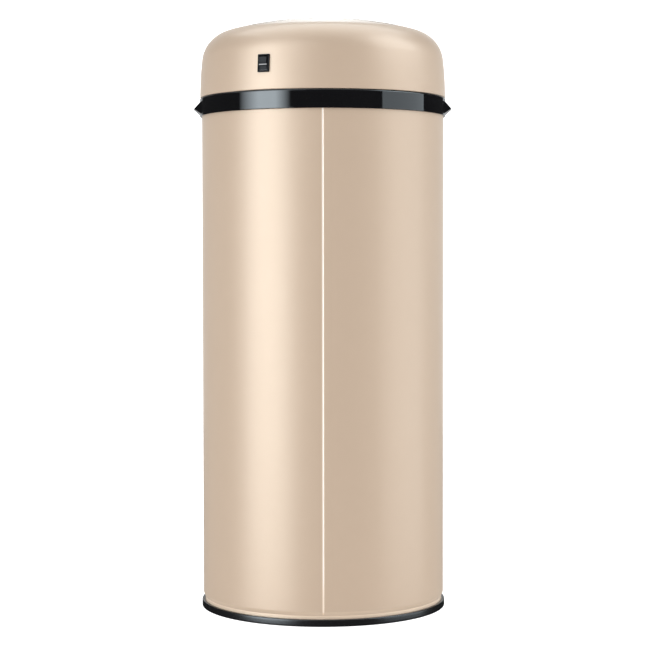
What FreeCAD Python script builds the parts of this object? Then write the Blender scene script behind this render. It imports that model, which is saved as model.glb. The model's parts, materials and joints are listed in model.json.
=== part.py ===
import FreeCAD, Part
import math
import os

# Round automatic kitchen bin, in millimetres.
# The origin is the centre of the underside on the floor, +Z is up and the front with the sensor faces -Y.

# Steel body
body_radius = 150.0
body_sheet = 0.6
body_rim_top = 627.0
body_curl_radius = 1.8
body_neck_step = 2.2
body_neck_top = 12.5
body_full_height = 17.1
body_edge_height = 4.1
body_edge_rounding = 2.0
seam_lap_width = 10.3
seam_lap_thickness = 0.7
seam_lap_bottom = 19.1
seam_lap_drop = 8.0
seam_groove_width = 2.4
seam_groove_depth = 0.3

# Base ring, pads and floor plate
base_overhang = 1.7
base_ledge_width = 11.5
base_height = 8.4
base_edge_radius = 1.2
base_socket_gap = 0.3
base_upstand_thickness = 3.4
base_upstand_height = 15.1
base_ledge_height = 5.0
pad_radius = 7.0
pad_thickness = 2.0
pad_inset = 10.7
pad_count = 4
pad_gap = 0.15
floor_sheet = 0.8
floor_dish_rise = 6.0
floor_dish_inset = 14.0
floor_slope_width = 8.0
floor_edge_gap = 0.5

# Neck ring with finger tabs
ring_overhang = 2.6
ring_height = 21.6
ring_rise = 2.8
ring_wall = 2.2
ring_flange_thickness = 2.5
ring_edge_radius = 0.9
ring_bore_inset = 12.0
ring_skirt_thickness = 2.0
ring_skirt_drop = 7.5
tab_reach = 8.1
tab_root_step = 0.4
tab_top_rise = 18.3
tab_tip_rise = 9.0
tab_bottom_rise = 1.7
tab_half_length = 30.6
tab_tip_half_length = 20.0
tab_tip_rounding = 0.8

# Dome outline
dome_step = 0.5
dome_ring_gap = 1.2
dome_rise = 97.7
dome_side_arc = 428.4
dome_shoulder_arc = 39.1
dome_crown_arc = 440.2
dome_sheet = 0.8
dome_rim_width = 3.6

# Flap opening, a rounded D with its straight side at the rear
flap_side_margin = 66.1
flap_front_margin = 34.1
flap_back_margin = 68.1
flap_corner_radius = 20.0
flap_gap = 1.6
flap_hem_depth = 2.2
liner_thickness = 2.5
liner_gap = 0.1
liner_rib_inset = 9.0
liner_rib_width = 1.8
liner_rib_depth = 5.0
liner_rib_hinge_gap = 32.0
frame_wall = 1.4
frame_proud = 0.2
frame_dome_gap = 0.2
frame_flange_width = 14.0
frame_flange_thickness = 2.5
frame_lip_width = 6.0
frame_lip_thickness = 2.3
frame_lip_hinge_gap = 14.0
frame_post_gap = 1.6
frame_post_radius = 4.0
frame_post_front_step = 10.0
frame_post_hinge_gap = 42.0
bumper_thickness = 1.2
bumper_radius = 2.5
bumper_side_step = 22.0
seat_gap = 0.3

# Flap hinge
hinge_back_margin = 22.0
hinge_drop = 15.0
shaft_radius = 2.0
shaft_fit = 0.05
knuckle_radius = 3.8
knuckle_round_share = 0.999
bracket_x = 45.0
bracket_width = 5.0
bracket_reach = 21.0
bracket_waist_reach = 10.0
bracket_waist_drop = 23.0
bracket_foot_height = 3.0
bracket_foot_width = 12.0
bracket_foot_reach = 18.0
ear_x = 38.5
ear_width = 5.0

# Head base and chute
base_plate_rise = 0.9
base_plate_thickness = 2.5
base_plate_gap = 0.4
stand_outer_gap = 0.3
stand_width = 5.2
skirt_gap = 0.6
skirt_thickness = 2.8
skirt_depth = 2.5
chute_side_margin = 8.0
chute_hinge_gap = 25.5
chute_corner_radius = 12.0
chute_wall = 2.0
chute_flange_width = 7.0
chute_flange_thickness = 2.0
chute_hole_gap = 0.3
chute_back_drop = 1.6
hood_half_width = 7.5
hood_reach = 4.5
hood_wall = 1.5
hood_drop = 37.0

# Gear train that drives the flap
sector_module = 1.0
sector_teeth = 60
pinion_teeth = 12
wheel_module = 0.8
wheel_teeth = 36
motor_teeth = 12
pressure_angle = 20.0
addendum_share = 0.8
dedendum_share = 1.1
tooth_backlash = 0.16
mesh_angle = 264.0
motor_angle = 315.0
sector_first_angle = 252.0
sector_last_angle = 352.0
sector_x = 18.0
sector_width = 6.0
sector_hub_radius = 4.6
sector_rim_width = 4.0
sector_arm_width = 10.0
sector_web_share = 0.33
pinion_clearance = 1.0
wheel_width = 4.5
axle_radius = 1.5
motor_shaft_radius = 1.0
motor_pinion_overlap = 0.5

# Gearbox case
case_wall = 2.0
case_plate = 2.5
case_reach = 21.4
case_gear_room = 10.8
case_screw_rise = 14.4
case_side_gap = 3.0
case_foot_width = 8.5
case_foot_length = 10.0
case_foot_thickness = 2.6
case_screw_inset = 3.6
case_screw_radius = 1.2
case_pillar_radius = 2.6

# Motor
motor_radius = 12.0
motor_length = 28.0
motor_flat = 9.5
motor_nose_radius = 3.0
motor_nose_length = 1.8
motor_cap_length = 3.0
motor_cap_radius = 9.0
motor_tab_width = 2.4
motor_tab_length = 4.5
motor_tab_thickness = 0.5
motor_tab_spread = 6.0
motor_shaft_seat = 4.0

# Battery case
cell_radius = 12.9
cell_length = 48.5
cell_nub_radius = 3.2
cell_nub_length = 1.5
cell_row_gap = 1.4
cell_side_gap = 0.5
battery_wall = 2.0
battery_left = -59.0
battery_case_gap = 7.0
contact_room = 2.5
contact_sheet = 0.4
contact_half_width = 8.0
battery_door_gap = 0.3
battery_door_grip = 5.0
battery_door_ridge = 1.2

# Main board
board_thickness = 1.6
board_bracket_gap = 5.0
board_length = 42.0
board_width = 40.0
board_reach = 14.0
board_rise = 9.6
board_boss_radius = 3.0
board_boss_inset = 4.0
chip_length = 10.0
chip_width = 6.0
chip_height = 1.8
capacitor_radius = 4.0
capacitor_height = 10.0
plug_length = 12.0
plug_width = 6.0
plug_height = 7.0
plug_inset = 12.0

# Control panel on the front of the dome
panel_rise = 24.0
panel_half_length = 46.0
panel_radius = 12.0
panel_proud = 0.6
panel_gap = 0.2
panel_flange_width = 4.0
panel_flange_thickness = 2.2
window_half_length = 19.0
window_radius = 7.0
window_proud = 0.2
window_thickness = 2.0
button_x = 33.0
button_radius = 5.5
button_gap = 0.25
button_proud = 1.2
button_collar_radius = 6.6
button_collar_thickness = 1.2
button_travel = 0.8
sensor_board_inset = 15.1
sensor_board_half_length = 42.0
sensor_board_half_height = 9.0
sensor_post_x = 20.5
sensor_post_radius = 1.4
led_radius = 2.5
led_x = 9.0
led_length = 7.5
light_radius = 1.5
tact_half_width = 3.0
tact_height = 2.4
tact_stem_radius = 1.6

# Power switch on the back of the dome
switch_turn = 27.1
switch_rise = 30.7
switch_width = 15.0
switch_tall = 21.0
switch_proud = 2.0
switch_rim = 1.4
switch_corner_radius = 0.8
switch_housing_width = 12.8
switch_housing_tall = 18.6
switch_housing_depth = 16.0
switch_hole_gap = 0.3
rocker_gap = 0.35
rocker_pivot_depth = 2.0
rocker_ridge = 3.6
rocker_end = 2.6
rocker_root = 3.0
rocker_rest_tilt = -9.0
rocker_well_depth = 7.0
rocker_pin_radius = 1.0
rocker_pin_gap = 0.05
switch_tab_width = 4.8
switch_tab_thickness = 0.8
switch_tab_length = 7.0
switch_tab_spread = 6.0

# Screws
screw_radius = 1.4
screw_head_radius = 2.8
screw_head_height = 1.6
screw_length = 9.0
screw_gap = 0.1
flap_screw_x = 60.0
flap_screw_y = 5.0
flap_screw_boss_height = 4.0
flap_screw_boss_radius = 3.2

# One overrun serves every cut
overrun = 5.0

origin = FreeCAD.Vector(0, 0, 0)
axis_x = FreeCAD.Vector(1, 0, 0)
axis_y = FreeCAD.Vector(0, 1, 0)
axis_z = FreeCAD.Vector(0, 0, 1)

# Sizes that follow from those above
shell_inner_radius = body_radius - body_sheet
body_neck_radius = body_radius - body_neck_step
neck_inner_radius = body_neck_radius - body_sheet
base_radius = body_radius + base_overhang
base_socket_radius = neck_inner_radius - base_socket_gap
base_upstand_radius = base_socket_radius - base_upstand_thickness
base_inner_radius = base_upstand_radius - base_ledge_width
pad_circle_radius = base_radius - pad_inset
floor_dish_radius = base_inner_radius - floor_dish_inset
ring_radius = body_radius + ring_overhang
ring_top = body_rim_top + ring_rise
ring_bottom = ring_top - ring_height
ring_inner_radius = ring_radius - ring_wall
ring_bore_radius = body_radius - ring_bore_inset
ring_skirt_outer = ring_bore_radius + ring_skirt_thickness
ring_skirt_bottom = ring_bottom - ring_skirt_drop
tab_root_radius = ring_radius - tab_root_step
tab_tip_radius = tab_root_radius + tab_reach
tab_top_height = ring_bottom + tab_top_rise
tab_tip_height = ring_bottom + tab_tip_rise
tab_bottom_height = ring_bottom + tab_bottom_rise
dome_radius = ring_radius - dome_step
dome_base_height = ring_top + dome_ring_gap
dome_top_height = dome_base_height + dome_rise
base_plate_bottom = dome_base_height + base_plate_rise
base_plate_top = base_plate_bottom + base_plate_thickness
stand_outer_radius = dome_radius - dome_rim_width - stand_outer_gap
stand_inner_radius = stand_outer_radius - stand_width
skirt_bottom = ring_top - skirt_depth
flap_half_width = dome_radius - flap_side_margin
flap_front_centre = flap_half_width + flap_front_margin - dome_radius
flap_back = dome_radius - flap_back_margin
hinge_y = flap_back - hinge_back_margin
hinge_z = dome_top_height - hinge_drop
frame_lip_back = hinge_y - frame_lip_hinge_gap
frame_post_x = flap_half_width + flap_gap + frame_wall + frame_post_gap + frame_post_radius
frame_post_places = (flap_front_centre - frame_post_front_step, hinge_y - frame_post_hinge_gap)
bumper_side_y = flap_front_centre + bumper_side_step
liner_rib_back = hinge_y - liner_rib_hinge_gap
bracket_front = hinge_y - bracket_reach
bracket_waist_front = hinge_y - bracket_waist_reach
bracket_waist_height = hinge_z - bracket_waist_drop
bracket_foot_back = hinge_y + bracket_foot_reach
chute_half_width = flap_half_width - chute_side_margin
chute_back = hinge_y - chute_hinge_gap
hood_bottom = hinge_z - hood_drop
case_front = hinge_y - case_reach
case_back = flap_back
battery_front = case_back + battery_case_gap
board_right = -bracket_x - bracket_foot_width / 2 - board_bracket_gap
board_left = board_right - board_length
board_front = hinge_y - board_reach
board_back = board_front + board_width
board_height = base_plate_top + board_rise
panel_height = dome_base_height + panel_rise
sensor_board_front = sensor_board_inset - dome_radius
switch_height = dome_base_height + switch_rise
skirt_outer_radius = ring_bore_radius - skirt_gap
skirt_inner_radius = skirt_outer_radius - skirt_thickness
liner_inset = dome_sheet + liner_gap
liner_bottom_inset = liner_inset + liner_thickness
lip_inset = liner_bottom_inset + seat_gap + bumper_thickness
lip_bottom_inset = lip_inset + frame_lip_thickness
chute_outer_back = chute_back + chute_wall
sector_radius = sector_module * sector_teeth / 2
pinion_radius = sector_module * pinion_teeth / 2
wheel_radius = wheel_module * wheel_teeth / 2
motor_gear_radius = wheel_module * motor_teeth / 2
train_reach = sector_radius + pinion_radius
motor_reach = wheel_radius + motor_gear_radius
idler_y = hinge_y + train_reach * math.cos(math.radians(mesh_angle))
idler_z = hinge_z + train_reach * math.sin(math.radians(mesh_angle))
case_top = idler_z + case_gear_room
case_screw_height = base_plate_top + case_screw_rise
motor_y = idler_y + motor_reach * math.cos(math.radians(motor_angle))
motor_z = idler_z + motor_reach * math.sin(math.radians(motor_angle))
sector_left = sector_x - sector_width / 2
sector_right = sector_x + sector_width / 2
pinion_left = sector_left - pinion_clearance
wheel_left = sector_right + pinion_clearance
wheel_right = wheel_left + wheel_width
case_left = pinion_left - case_side_gap - case_plate
case_inner_left = case_left + case_plate
case_inner_right = wheel_right + case_side_gap / 2
case_right = case_inner_right + case_plate
battery_bay = contact_room + cell_length + cell_nub_length + contact_sheet + seat_gap
battery_right = battery_left + 2 * battery_bay + 3 * battery_wall
battery_back = battery_front + 2 * (cell_radius + cell_side_gap + battery_wall)
battery_top = base_plate_top + 4 * cell_radius + 2 * cell_row_gap + battery_wall
battery_middle = (battery_left + battery_right) / 2


def point_xy(a, b):
    return FreeCAD.Vector(a, b, 0)


def point_rz(a, b):
    return FreeCAD.Vector(a, 0, b)


def point_yz(a, b):
    return FreeCAD.Vector(0, a, b)


def face_of(points, place):
    """A closed outline of (a, b) or (a, b, corner radius), with round corners as arcs."""
    corners = []
    count = len(points)
    for index in range(count):
        here = place(points[index][0], points[index][1])
        if len(points[index]) < 3:
            corners.append((here, None, here))
            continue
        radius = points[index][2]
        before = points[index - 1]
        after = points[(index + 1) % count]
        back = (place(before[0], before[1]) - here).normalize()
        ahead = (place(after[0], after[1]) - here).normalize()
        half = back.getAngle(ahead) / 2
        reach = radius / math.tan(half)
        inward = (back + ahead).normalize()
        middle = here + inward * (radius / math.sin(half) - radius)
        corners.append((here + back * reach, middle, here + ahead * reach))
    edges = []
    for index in range(count):
        start, middle, end = corners[index]
        if middle is not None:
            edges.append(Part.Arc(start, middle, end).toShape())
        edges.append(Part.LineSegment(end, corners[(index + 1) % count][0]).toShape())
    return Part.Face(Part.Wire(edges))


def turned(points, angle=360.0):
    """A radius and height outline turned about the bin's axis, from the XZ plane."""
    return face_of(points, point_rz).revolve(origin, axis_z, angle)


def raised(points, bottom, top):
    face = face_of(points, point_xy)
    face.translate(FreeCAD.Vector(0, 0, bottom))
    return face.extrude(FreeCAD.Vector(0, 0, top - bottom))


def across(points, left, right):
    """A (y, z) outline carried along X."""
    face = face_of(points, point_yz)
    face.translate(FreeCAD.Vector(left, 0, 0))
    return face.extrude(FreeCAD.Vector(right - left, 0, 0))


def block(left, right, front, back, bottom, top):
    corner = FreeCAD.Vector(left, front, bottom)
    return Part.makeBox(right - left, back - front, top - bottom, corner)


def rod_x(y, z, radius, left, right):
    return Part.makeCylinder(radius, right - left, FreeCAD.Vector(left, y, z), axis_x)


def rod_y(x, z, radius, front, back):
    return Part.makeCylinder(radius, back - front, FreeCAD.Vector(x, front, z), axis_y)


def rod_z(x, y, radius, bottom, top):
    return Part.makeCylinder(radius, top - bottom, FreeCAD.Vector(x, y, bottom), axis_z)


def joined(first, others):
    return first.fuse(others).removeSplitter()


def mirrored(shape):
    return shape.mirror(origin, axis_x)


# Dome surface: side arc, shoulder arc and crown arc, each tangent to the next
def shoulder_centre():
    side = (dome_radius - dome_side_arc, dome_base_height)
    crown = (0.0, dome_top_height - dome_crown_arc)
    side_reach = dome_side_arc - dome_shoulder_arc
    crown_reach = dome_crown_arc - dome_shoulder_arc
    span_r = crown[0] - side[0]
    span_z = crown[1] - side[1]
    span = math.hypot(span_r, span_z)
    along = (side_reach ** 2 - crown_reach ** 2 + span ** 2) / (2 * span)
    off = math.sqrt(side_reach ** 2 - along ** 2)
    unit_r = span_r / span
    unit_z = span_z / span
    return (side[0] + along * unit_r - off * unit_z, side[1] + along * unit_z + off * unit_r)


def dome_points(inset):
    """Start, middle and end of the three arcs of the dome's half profile, moved inwards by the inset."""
    centre_r, centre_z = shoulder_centre()
    side_r = dome_radius - dome_side_arc
    crown_z = dome_top_height - dome_crown_arc
    low_angle = math.atan2(centre_z - dome_base_height, centre_r - side_r)
    high_angle = math.atan2(centre_z - crown_z, centre_r)
    arcs = []
    for r, z, radius, first, last in (
            (side_r, dome_base_height, dome_side_arc, 0.0, low_angle),
            (centre_r, centre_z, dome_shoulder_arc, low_angle, high_angle),
            (0.0, crown_z, dome_crown_arc, high_angle, math.pi / 2)):
        reach = radius - inset
        arcs.append([(r + reach * math.cos(turn), z + reach * math.sin(turn))
                     for turn in (first, (first + last) / 2, last)])
    return arcs


def dome_body(inset, foot=0.0):
    """The whole dome as a solid, its surface moved inwards by the inset, with a straight foot below it."""
    edges = []
    arcs = dome_points(inset)
    start = arcs[0][0]
    bottom = dome_base_height - foot
    edges.append(Part.LineSegment(point_rz(0, bottom), point_rz(start[0], bottom)).toShape())
    if foot > 0:
        edges.append(Part.LineSegment(point_rz(start[0], bottom), point_rz(start[0], start[1])).toShape())
    for first, middle, last in arcs:
        edges.append(Part.Arc(point_rz(*first), point_rz(*middle), point_rz(max(last[0], 0.0), last[1])).toShape())
    top = arcs[2][2]
    edges.append(Part.LineSegment(point_rz(0, top[1]), point_rz(0, bottom)).toShape())
    return Part.Face(Part.Wire(edges)).revolve(origin, axis_z, 360)


def dome_layer(outer_inset, inner_inset):
    return dome_body(outer_inset).cut(dome_body(inner_inset, overrun))


def dome_height_at(radius, inset):
    """Height of the inset dome surface over a point of the crown or shoulder."""
    centre_r, centre_z = shoulder_centre()
    crown_z = dome_top_height - dome_crown_arc
    reach = dome_crown_arc - inset
    edge_r = centre_r / (dome_crown_arc - dome_shoulder_arc) * reach
    if radius <= edge_r:
        return crown_z + math.sqrt(reach ** 2 - radius ** 2)
    return centre_z + math.sqrt((dome_shoulder_arc - inset) ** 2 - (radius - centre_r) ** 2)


def dome_radius_at(height):
    """Outer radius of the dome's side at a height."""
    return dome_radius - dome_side_arc + math.sqrt(dome_side_arc ** 2 - (height - dome_base_height) ** 2)


def d_prism(half, back, corner, bottom, top):
    """The D outline with a half-circle front, carried straight up."""
    centre = flap_front_centre
    turn = corner * math.sqrt(0.5)
    edges = [
        Part.Arc(point_xy(-half, centre), point_xy(0, centre - half), point_xy(half, centre)).toShape(),
        Part.LineSegment(point_xy(half, centre), point_xy(half, back - corner)).toShape(),
        Part.Arc(point_xy(half, back - corner), point_xy(half - corner + turn, back - corner + turn),
                 point_xy(half - corner, back)).toShape(),
        Part.LineSegment(point_xy(half - corner, back), point_xy(corner - half, back)).toShape(),
        Part.Arc(point_xy(corner - half, back), point_xy(corner - half - turn, back - corner + turn),
                 point_xy(-half, back - corner)).toShape(),
        Part.LineSegment(point_xy(-half, back - corner), point_xy(-half, centre)).toShape()]
    face = Part.Face(Part.Wire(edges))
    face.translate(FreeCAD.Vector(0, 0, bottom))
    return face.extrude(FreeCAD.Vector(0, 0, top - bottom))


def flap_prism(grow):
    return d_prism(flap_half_width + grow, flap_back + grow, flap_corner_radius + grow,
                   dome_base_height - overrun, dome_top_height + overrun)


def chute_prism(grow, bottom, top):
    return d_prism(chute_half_width + grow, chute_back + grow, chute_corner_radius + grow, bottom, top)


def gear_face(module, teeth, phase):
    """Spur gear outline: involute flanks from the base circle up, straight below it."""
    pitch = module * teeth / 2
    base = pitch * math.cos(math.radians(pressure_angle))
    tip = pitch + addendum_share * module
    root = pitch - dedendum_share * module
    half_pitch = (math.pi * module / 2 - tooth_backlash) / (2 * pitch)

    def involute(radius):
        angle = math.acos(min(1.0, base / radius))
        return math.tan(angle) - angle

    low = max(base, root)
    flank = [(radius, half_pitch + involute(pitch) - involute(radius))
             for radius in (low, (low + tip) / 2, tip)]
    flank.insert(0, (root, flank[0][1]))
    points = []
    for tooth in range(teeth):
        middle = math.radians(phase) + 2 * math.pi * tooth / teeth
        for radius, half in flank:
            points.append((radius * math.cos(middle - half), radius * math.sin(middle - half)))
        for radius, half in reversed(flank):
            points.append((radius * math.cos(middle + half), radius * math.sin(middle + half)))
    corners = [point_yz(*point) for point in points]
    return Part.Face(Part.makePolygon(corners + corners[:1]))


def gear(module, teeth, phase, y, z, left, right):
    face = gear_face(module, teeth, phase)
    face.translate(FreeCAD.Vector(left, y, z))
    return face.extrude(FreeCAD.Vector(right - left, 0, 0))


# Body on the floor
def base_ring():
    socket_out = body_neck_radius + base_socket_gap
    socket_in = base_socket_radius
    upstand = base_upstand_radius
    ring = turned([
        (base_inner_radius, 0), (base_radius, 0, base_edge_radius / 2),
        (base_radius, base_height, base_edge_radius), (socket_out, base_height),
        (socket_out, body_edge_height), (socket_in, body_edge_height),
        (socket_in, base_upstand_height), (upstand, base_upstand_height),
        (upstand, base_ledge_height), (base_inner_radius, base_ledge_height)])
    pockets = [pad_at(index, pad_radius + pad_gap, -overrun) for index in range(pad_count)]
    return ring.cut(pockets)


def pad_at(index, radius, bottom):
    turn = math.radians(360.0 * (index + 0.5) / pad_count)
    return rod_z(pad_circle_radius * math.cos(turn), pad_circle_radius * math.sin(turn),
                 radius, bottom, pad_thickness)


def foot_pads():
    return Part.Compound([pad_at(index, pad_radius, 0) for index in range(pad_count)])


def bottom_plate():
    edge = base_upstand_radius - floor_edge_gap
    low = base_ledge_height
    high = low + floor_dish_rise
    inner = floor_dish_radius - floor_slope_width
    return turned([
        (0, high), (inner, high, floor_sheet), (floor_dish_radius, low, 2 * floor_sheet), (edge, low),
        (edge, low + floor_sheet), (floor_dish_radius, low + floor_sheet, floor_sheet),
        (inner, high + floor_sheet, 2 * floor_sheet), (0, high + floor_sheet)])


def body_shell():
    curl_centre = body_rim_top - body_curl_radius
    tube = turned([
        (body_neck_radius, body_edge_height), (body_neck_radius, body_neck_top, body_edge_rounding),
        (body_radius, body_full_height, body_edge_rounding), (body_radius, curl_centre),
        (shell_inner_radius, curl_centre), (shell_inner_radius, body_full_height, body_edge_rounding),
        (neck_inner_radius, body_neck_top, body_edge_rounding), (neck_inner_radius, body_edge_height)])
    curl = Part.makeTorus(body_radius - body_curl_radius, body_curl_radius,
                          FreeCAD.Vector(0, 0, curl_centre), axis_z)
    lap_angle = math.degrees(seam_lap_width / body_radius)
    lap = turned([
        (shell_inner_radius - seam_lap_thickness, seam_lap_bottom),
        (shell_inner_radius + body_sheet / 2, seam_lap_bottom),
        (shell_inner_radius + body_sheet / 2, curl_centre - seam_lap_drop),
        (shell_inner_radius - seam_lap_thickness, curl_centre - seam_lap_drop)], lap_angle)
    lap.rotate(origin, axis_z, 90)
    groove_angle = math.degrees(seam_groove_width / body_radius)
    groove = turned([
        (body_radius - seam_groove_depth, body_full_height), (body_radius + overrun, body_full_height),
        (body_radius + overrun, curl_centre - seam_lap_drop),
        (body_radius - seam_groove_depth, curl_centre - seam_lap_drop)], groove_angle)
    groove.rotate(origin, axis_z, 90 - groove_angle / 2)
    return tube.fuse([curl, lap]).cut(groove).removeSplitter()


# Neck ring
def neck_ring():
    ring = turned([
        (ring_inner_radius, ring_bottom), (ring_radius, ring_bottom, ring_edge_radius),
        (ring_radius, ring_top, ring_edge_radius), (ring_bore_radius, ring_top, ring_edge_radius),
        (ring_bore_radius, ring_skirt_bottom), (ring_skirt_outer, ring_skirt_bottom),
        (ring_skirt_outer, ring_top - ring_flange_thickness),
        (ring_inner_radius, ring_top - ring_flange_thickness)])
    return joined(ring, [finger_tab(), mirrored(finger_tab())])


def finger_tab():
    """Wedge that a finger lifts the ring by, with its ends drawn in towards the tip."""
    inner = (ring_inner_radius + ring_radius) / 2
    wedge_angle = 2 * math.degrees(tab_half_length / inner)
    wedge = turned([
        (inner, tab_top_height), (tab_root_radius, tab_top_height),
        (tab_tip_radius, tab_tip_height, tab_tip_rounding), (tab_root_radius, tab_bottom_height),
        (inner, tab_bottom_height)], wedge_angle)
    wedge.rotate(origin, axis_z, -wedge_angle / 2)
    plan = raised([
        (0, -tab_half_length), (tab_root_radius, -tab_half_length), (tab_tip_radius, -tab_tip_half_length),
        (tab_tip_radius + overrun, -tab_tip_half_length), (tab_tip_radius + overrun, tab_tip_half_length),
        (tab_tip_radius, tab_tip_half_length), (tab_root_radius, tab_half_length), (0, tab_half_length)],
        tab_bottom_height - overrun, tab_top_height + overrun)
    return wedge.common(plan)


# Head shell
def dome_shell():
    shell = dome_layer(0, dome_sheet)
    inner = dome_radius - dome_sheet / 2
    rim = turned([
        (dome_radius - dome_rim_width, dome_base_height), (inner, dome_base_height),
        (inner, dome_base_height + dome_sheet), (dome_radius - dome_rim_width, dome_base_height + dome_sheet)])
    shell = joined(shell, [rim])
    cuts = [flap_prism(flap_gap + frame_wall + frame_dome_gap), panel_prism(0), switch_hole()]
    return shell.cut(cuts)


def flap_frame():
    collar = dome_layer(-frame_proud, lip_bottom_inset).common(
        flap_prism(flap_gap + frame_wall).cut(flap_prism(flap_gap)))
    flange = dome_layer(liner_inset, liner_inset + frame_flange_thickness).common(
        flap_prism(frame_flange_width).cut(flap_prism(flap_gap)))
    lip = dome_layer(lip_inset, lip_bottom_inset).common(
        flap_prism(flap_gap + frame_wall).cut(flap_prism(-frame_lip_width)))
    width = flap_half_width + flap_gap + frame_wall + overrun
    lip = lip.common(block(-width, width, -dome_radius, frame_lip_back, base_plate_top, dome_top_height))
    posts = []
    for side in (-1, 1):
        for y in frame_post_places:
            top = dome_height_at(math.hypot(frame_post_x, y), liner_inset + frame_flange_thickness / 2)
            posts.append(rod_z(side * frame_post_x, y, frame_post_radius, base_plate_top, top))
    posts_solid = posts[0].fuse(posts[1:]).cut(flap_prism(flap_gap))
    posts_solid = posts_solid.common(dome_body(liner_inset))
    frame = joined(collar, [flange, lip, posts_solid])
    holes = [rod_z(side * frame_post_x, y, screw_radius + screw_gap, base_plate_top - overrun,
                   base_plate_top + screw_length)
             for side in (-1, 1) for y in frame_post_places]
    return frame.cut(holes)


def flap_bumpers():
    middle = flap_half_width + flap_gap - frame_lip_width / 2
    places = [(0, flap_front_centre - middle), (-middle, bumper_side_y), (middle, bumper_side_y)]
    layer = dome_layer(liner_bottom_inset + seat_gap, lip_inset)
    return Part.Compound([layer.common(rod_z(x, y, bumper_radius, base_plate_top, dome_top_height))
                          for x, y in places])


def head_base():
    outer = dome_radius - dome_sheet - base_plate_gap
    base = turned([
        (0, base_plate_bottom), (skirt_inner_radius, base_plate_bottom), (skirt_inner_radius, skirt_bottom),
        (skirt_outer_radius, skirt_bottom), (skirt_outer_radius, base_plate_bottom),
        (stand_inner_radius, base_plate_bottom), (stand_inner_radius, ring_top), (stand_outer_radius, ring_top),
        (stand_outer_radius, base_plate_bottom), (outer, base_plate_bottom), (outer, base_plate_top),
        (0, base_plate_top)])
    bosses = [rod_z(x, y, board_boss_radius, base_plate_top - base_plate_thickness / 2, board_height)
              for x, y in board_places()]
    base = joined(base, bosses)
    cuts = [chute_prism(chute_wall + chute_hole_gap, skirt_bottom - overrun, base_plate_top + overrun),
            door_block(battery_door_gap, base_plate_bottom - overrun, base_plate_top + overrun)]
    for x, y in board_places():
        cuts.append(rod_z(x, y, case_screw_radius + screw_gap, base_plate_top, board_height + overrun))
    for side in (-1, 1):
        for y in frame_post_places:
            cuts.append(rod_z(side * frame_post_x, y, screw_radius + screw_gap,
                              base_plate_bottom - overrun, base_plate_top + overrun))
    for x, y in case_foot_places():
        cuts.append(rod_z(x, y, case_screw_radius + screw_gap, base_plate_bottom - overrun,
                          base_plate_top + overrun))
    return base.cut(cuts)


def chute():
    lip_under = lip_bottom_inset + seat_gap
    walls = chute_prism(chute_wall, base_plate_bottom, dome_top_height).cut(
        chute_prism(0, base_plate_bottom - overrun, dome_top_height + overrun))
    front = walls.common(dome_body(lip_under))
    low_back = block(-chute_half_width * 2, chute_half_width * 2, chute_back - chute_corner_radius,
                     chute_outer_back + overrun, base_plate_bottom - overrun, dome_top_height)
    back = walls.common(low_back).common(dome_body(lip_under + chute_back_drop))
    walls = front.cut(low_back).fuse(back)
    flange = chute_prism(chute_wall + chute_flange_width, base_plate_top,
                         base_plate_top + chute_flange_thickness)
    width = 2 * chute_half_width
    flange = flange.common(block(-width, width, -dome_radius, chute_outer_back, base_plate_bottom,
                                 dome_top_height))
    flange = flange.cut(chute_prism(0, base_plate_bottom, base_plate_top + overrun))
    tip = sector_radius + addendum_share * sector_module
    hood_front = hinge_y - tip - hood_reach
    hood_left = sector_x - hood_half_width
    hood_right = sector_x + hood_half_width
    hood_top = hinge_z + hood_reach + hood_wall
    hood = block(hood_left, hood_right, hood_front, chute_outer_back, hood_bottom, hood_top)
    pocket = block(hood_left + hood_wall, hood_right - hood_wall, hood_front + hood_wall,
                   chute_outer_back + overrun, hood_bottom + hood_wall, hood_top - hood_wall)
    body = joined(walls, [flange, hood]).cut(pocket)
    posts = [rod_z(side * frame_post_x, y, frame_post_radius + seat_gap, base_plate_bottom,
                   dome_top_height) for side in (-1, 1) for y in frame_post_places]
    return body.cut(posts)


# Flap
def flap_skin():
    top = dome_layer(0, dome_sheet).common(flap_prism(0))
    hem = dome_layer(0, dome_sheet + flap_hem_depth).common(flap_prism(0).cut(flap_prism(-dome_sheet)))
    return joined(top, [hem])


def flap_liner():
    plate = dome_layer(liner_inset, liner_bottom_inset).common(flap_prism(-liner_inset))
    rib = dome_layer(liner_bottom_inset - liner_gap, liner_bottom_inset + liner_rib_depth).common(
        flap_prism(-liner_rib_inset).cut(flap_prism(-liner_rib_inset - liner_rib_width)))
    width = 2 * flap_half_width
    rib = rib.common(block(-width, width, -dome_radius, liner_rib_back, base_plate_top, dome_top_height))
    pieces = [rib]
    for side in (-1, 1):
        left = side * ear_x - ear_width / 2
        outline = [(hinge_y - 2 * knuckle_radius, dome_top_height), (hinge_y - knuckle_radius, hinge_z),
                   (hinge_y - knuckle_radius, hinge_z - knuckle_radius, knuckle_radius * knuckle_round_share),
                   (hinge_y + knuckle_radius, hinge_z - knuckle_radius, knuckle_radius * knuckle_round_share),
                   (hinge_y + knuckle_radius, hinge_z), (hinge_y + 2 * knuckle_radius, dome_top_height)]
        ear = across(outline, left, left + ear_width)
        pieces.append(ear.common(dome_body(liner_bottom_inset - liner_gap)))
    for x, y in flap_screw_places():
        top = dome_height_at(math.hypot(x, y), liner_bottom_inset - liner_gap)
        pieces.append(rod_z(x, y, flap_screw_boss_radius, top - flap_screw_boss_height, top))
    liner = joined(plate, pieces)
    cuts = [rod_x(hinge_y, hinge_z, shaft_radius + shaft_fit, -width, width)]
    for x, y in flap_screw_places():
        cuts.append(rod_z(x, y, screw_radius + screw_gap, base_plate_top,
                          dome_height_at(math.hypot(x, y), liner_inset + liner_thickness / 2)))
    return liner.cut(cuts)


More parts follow.
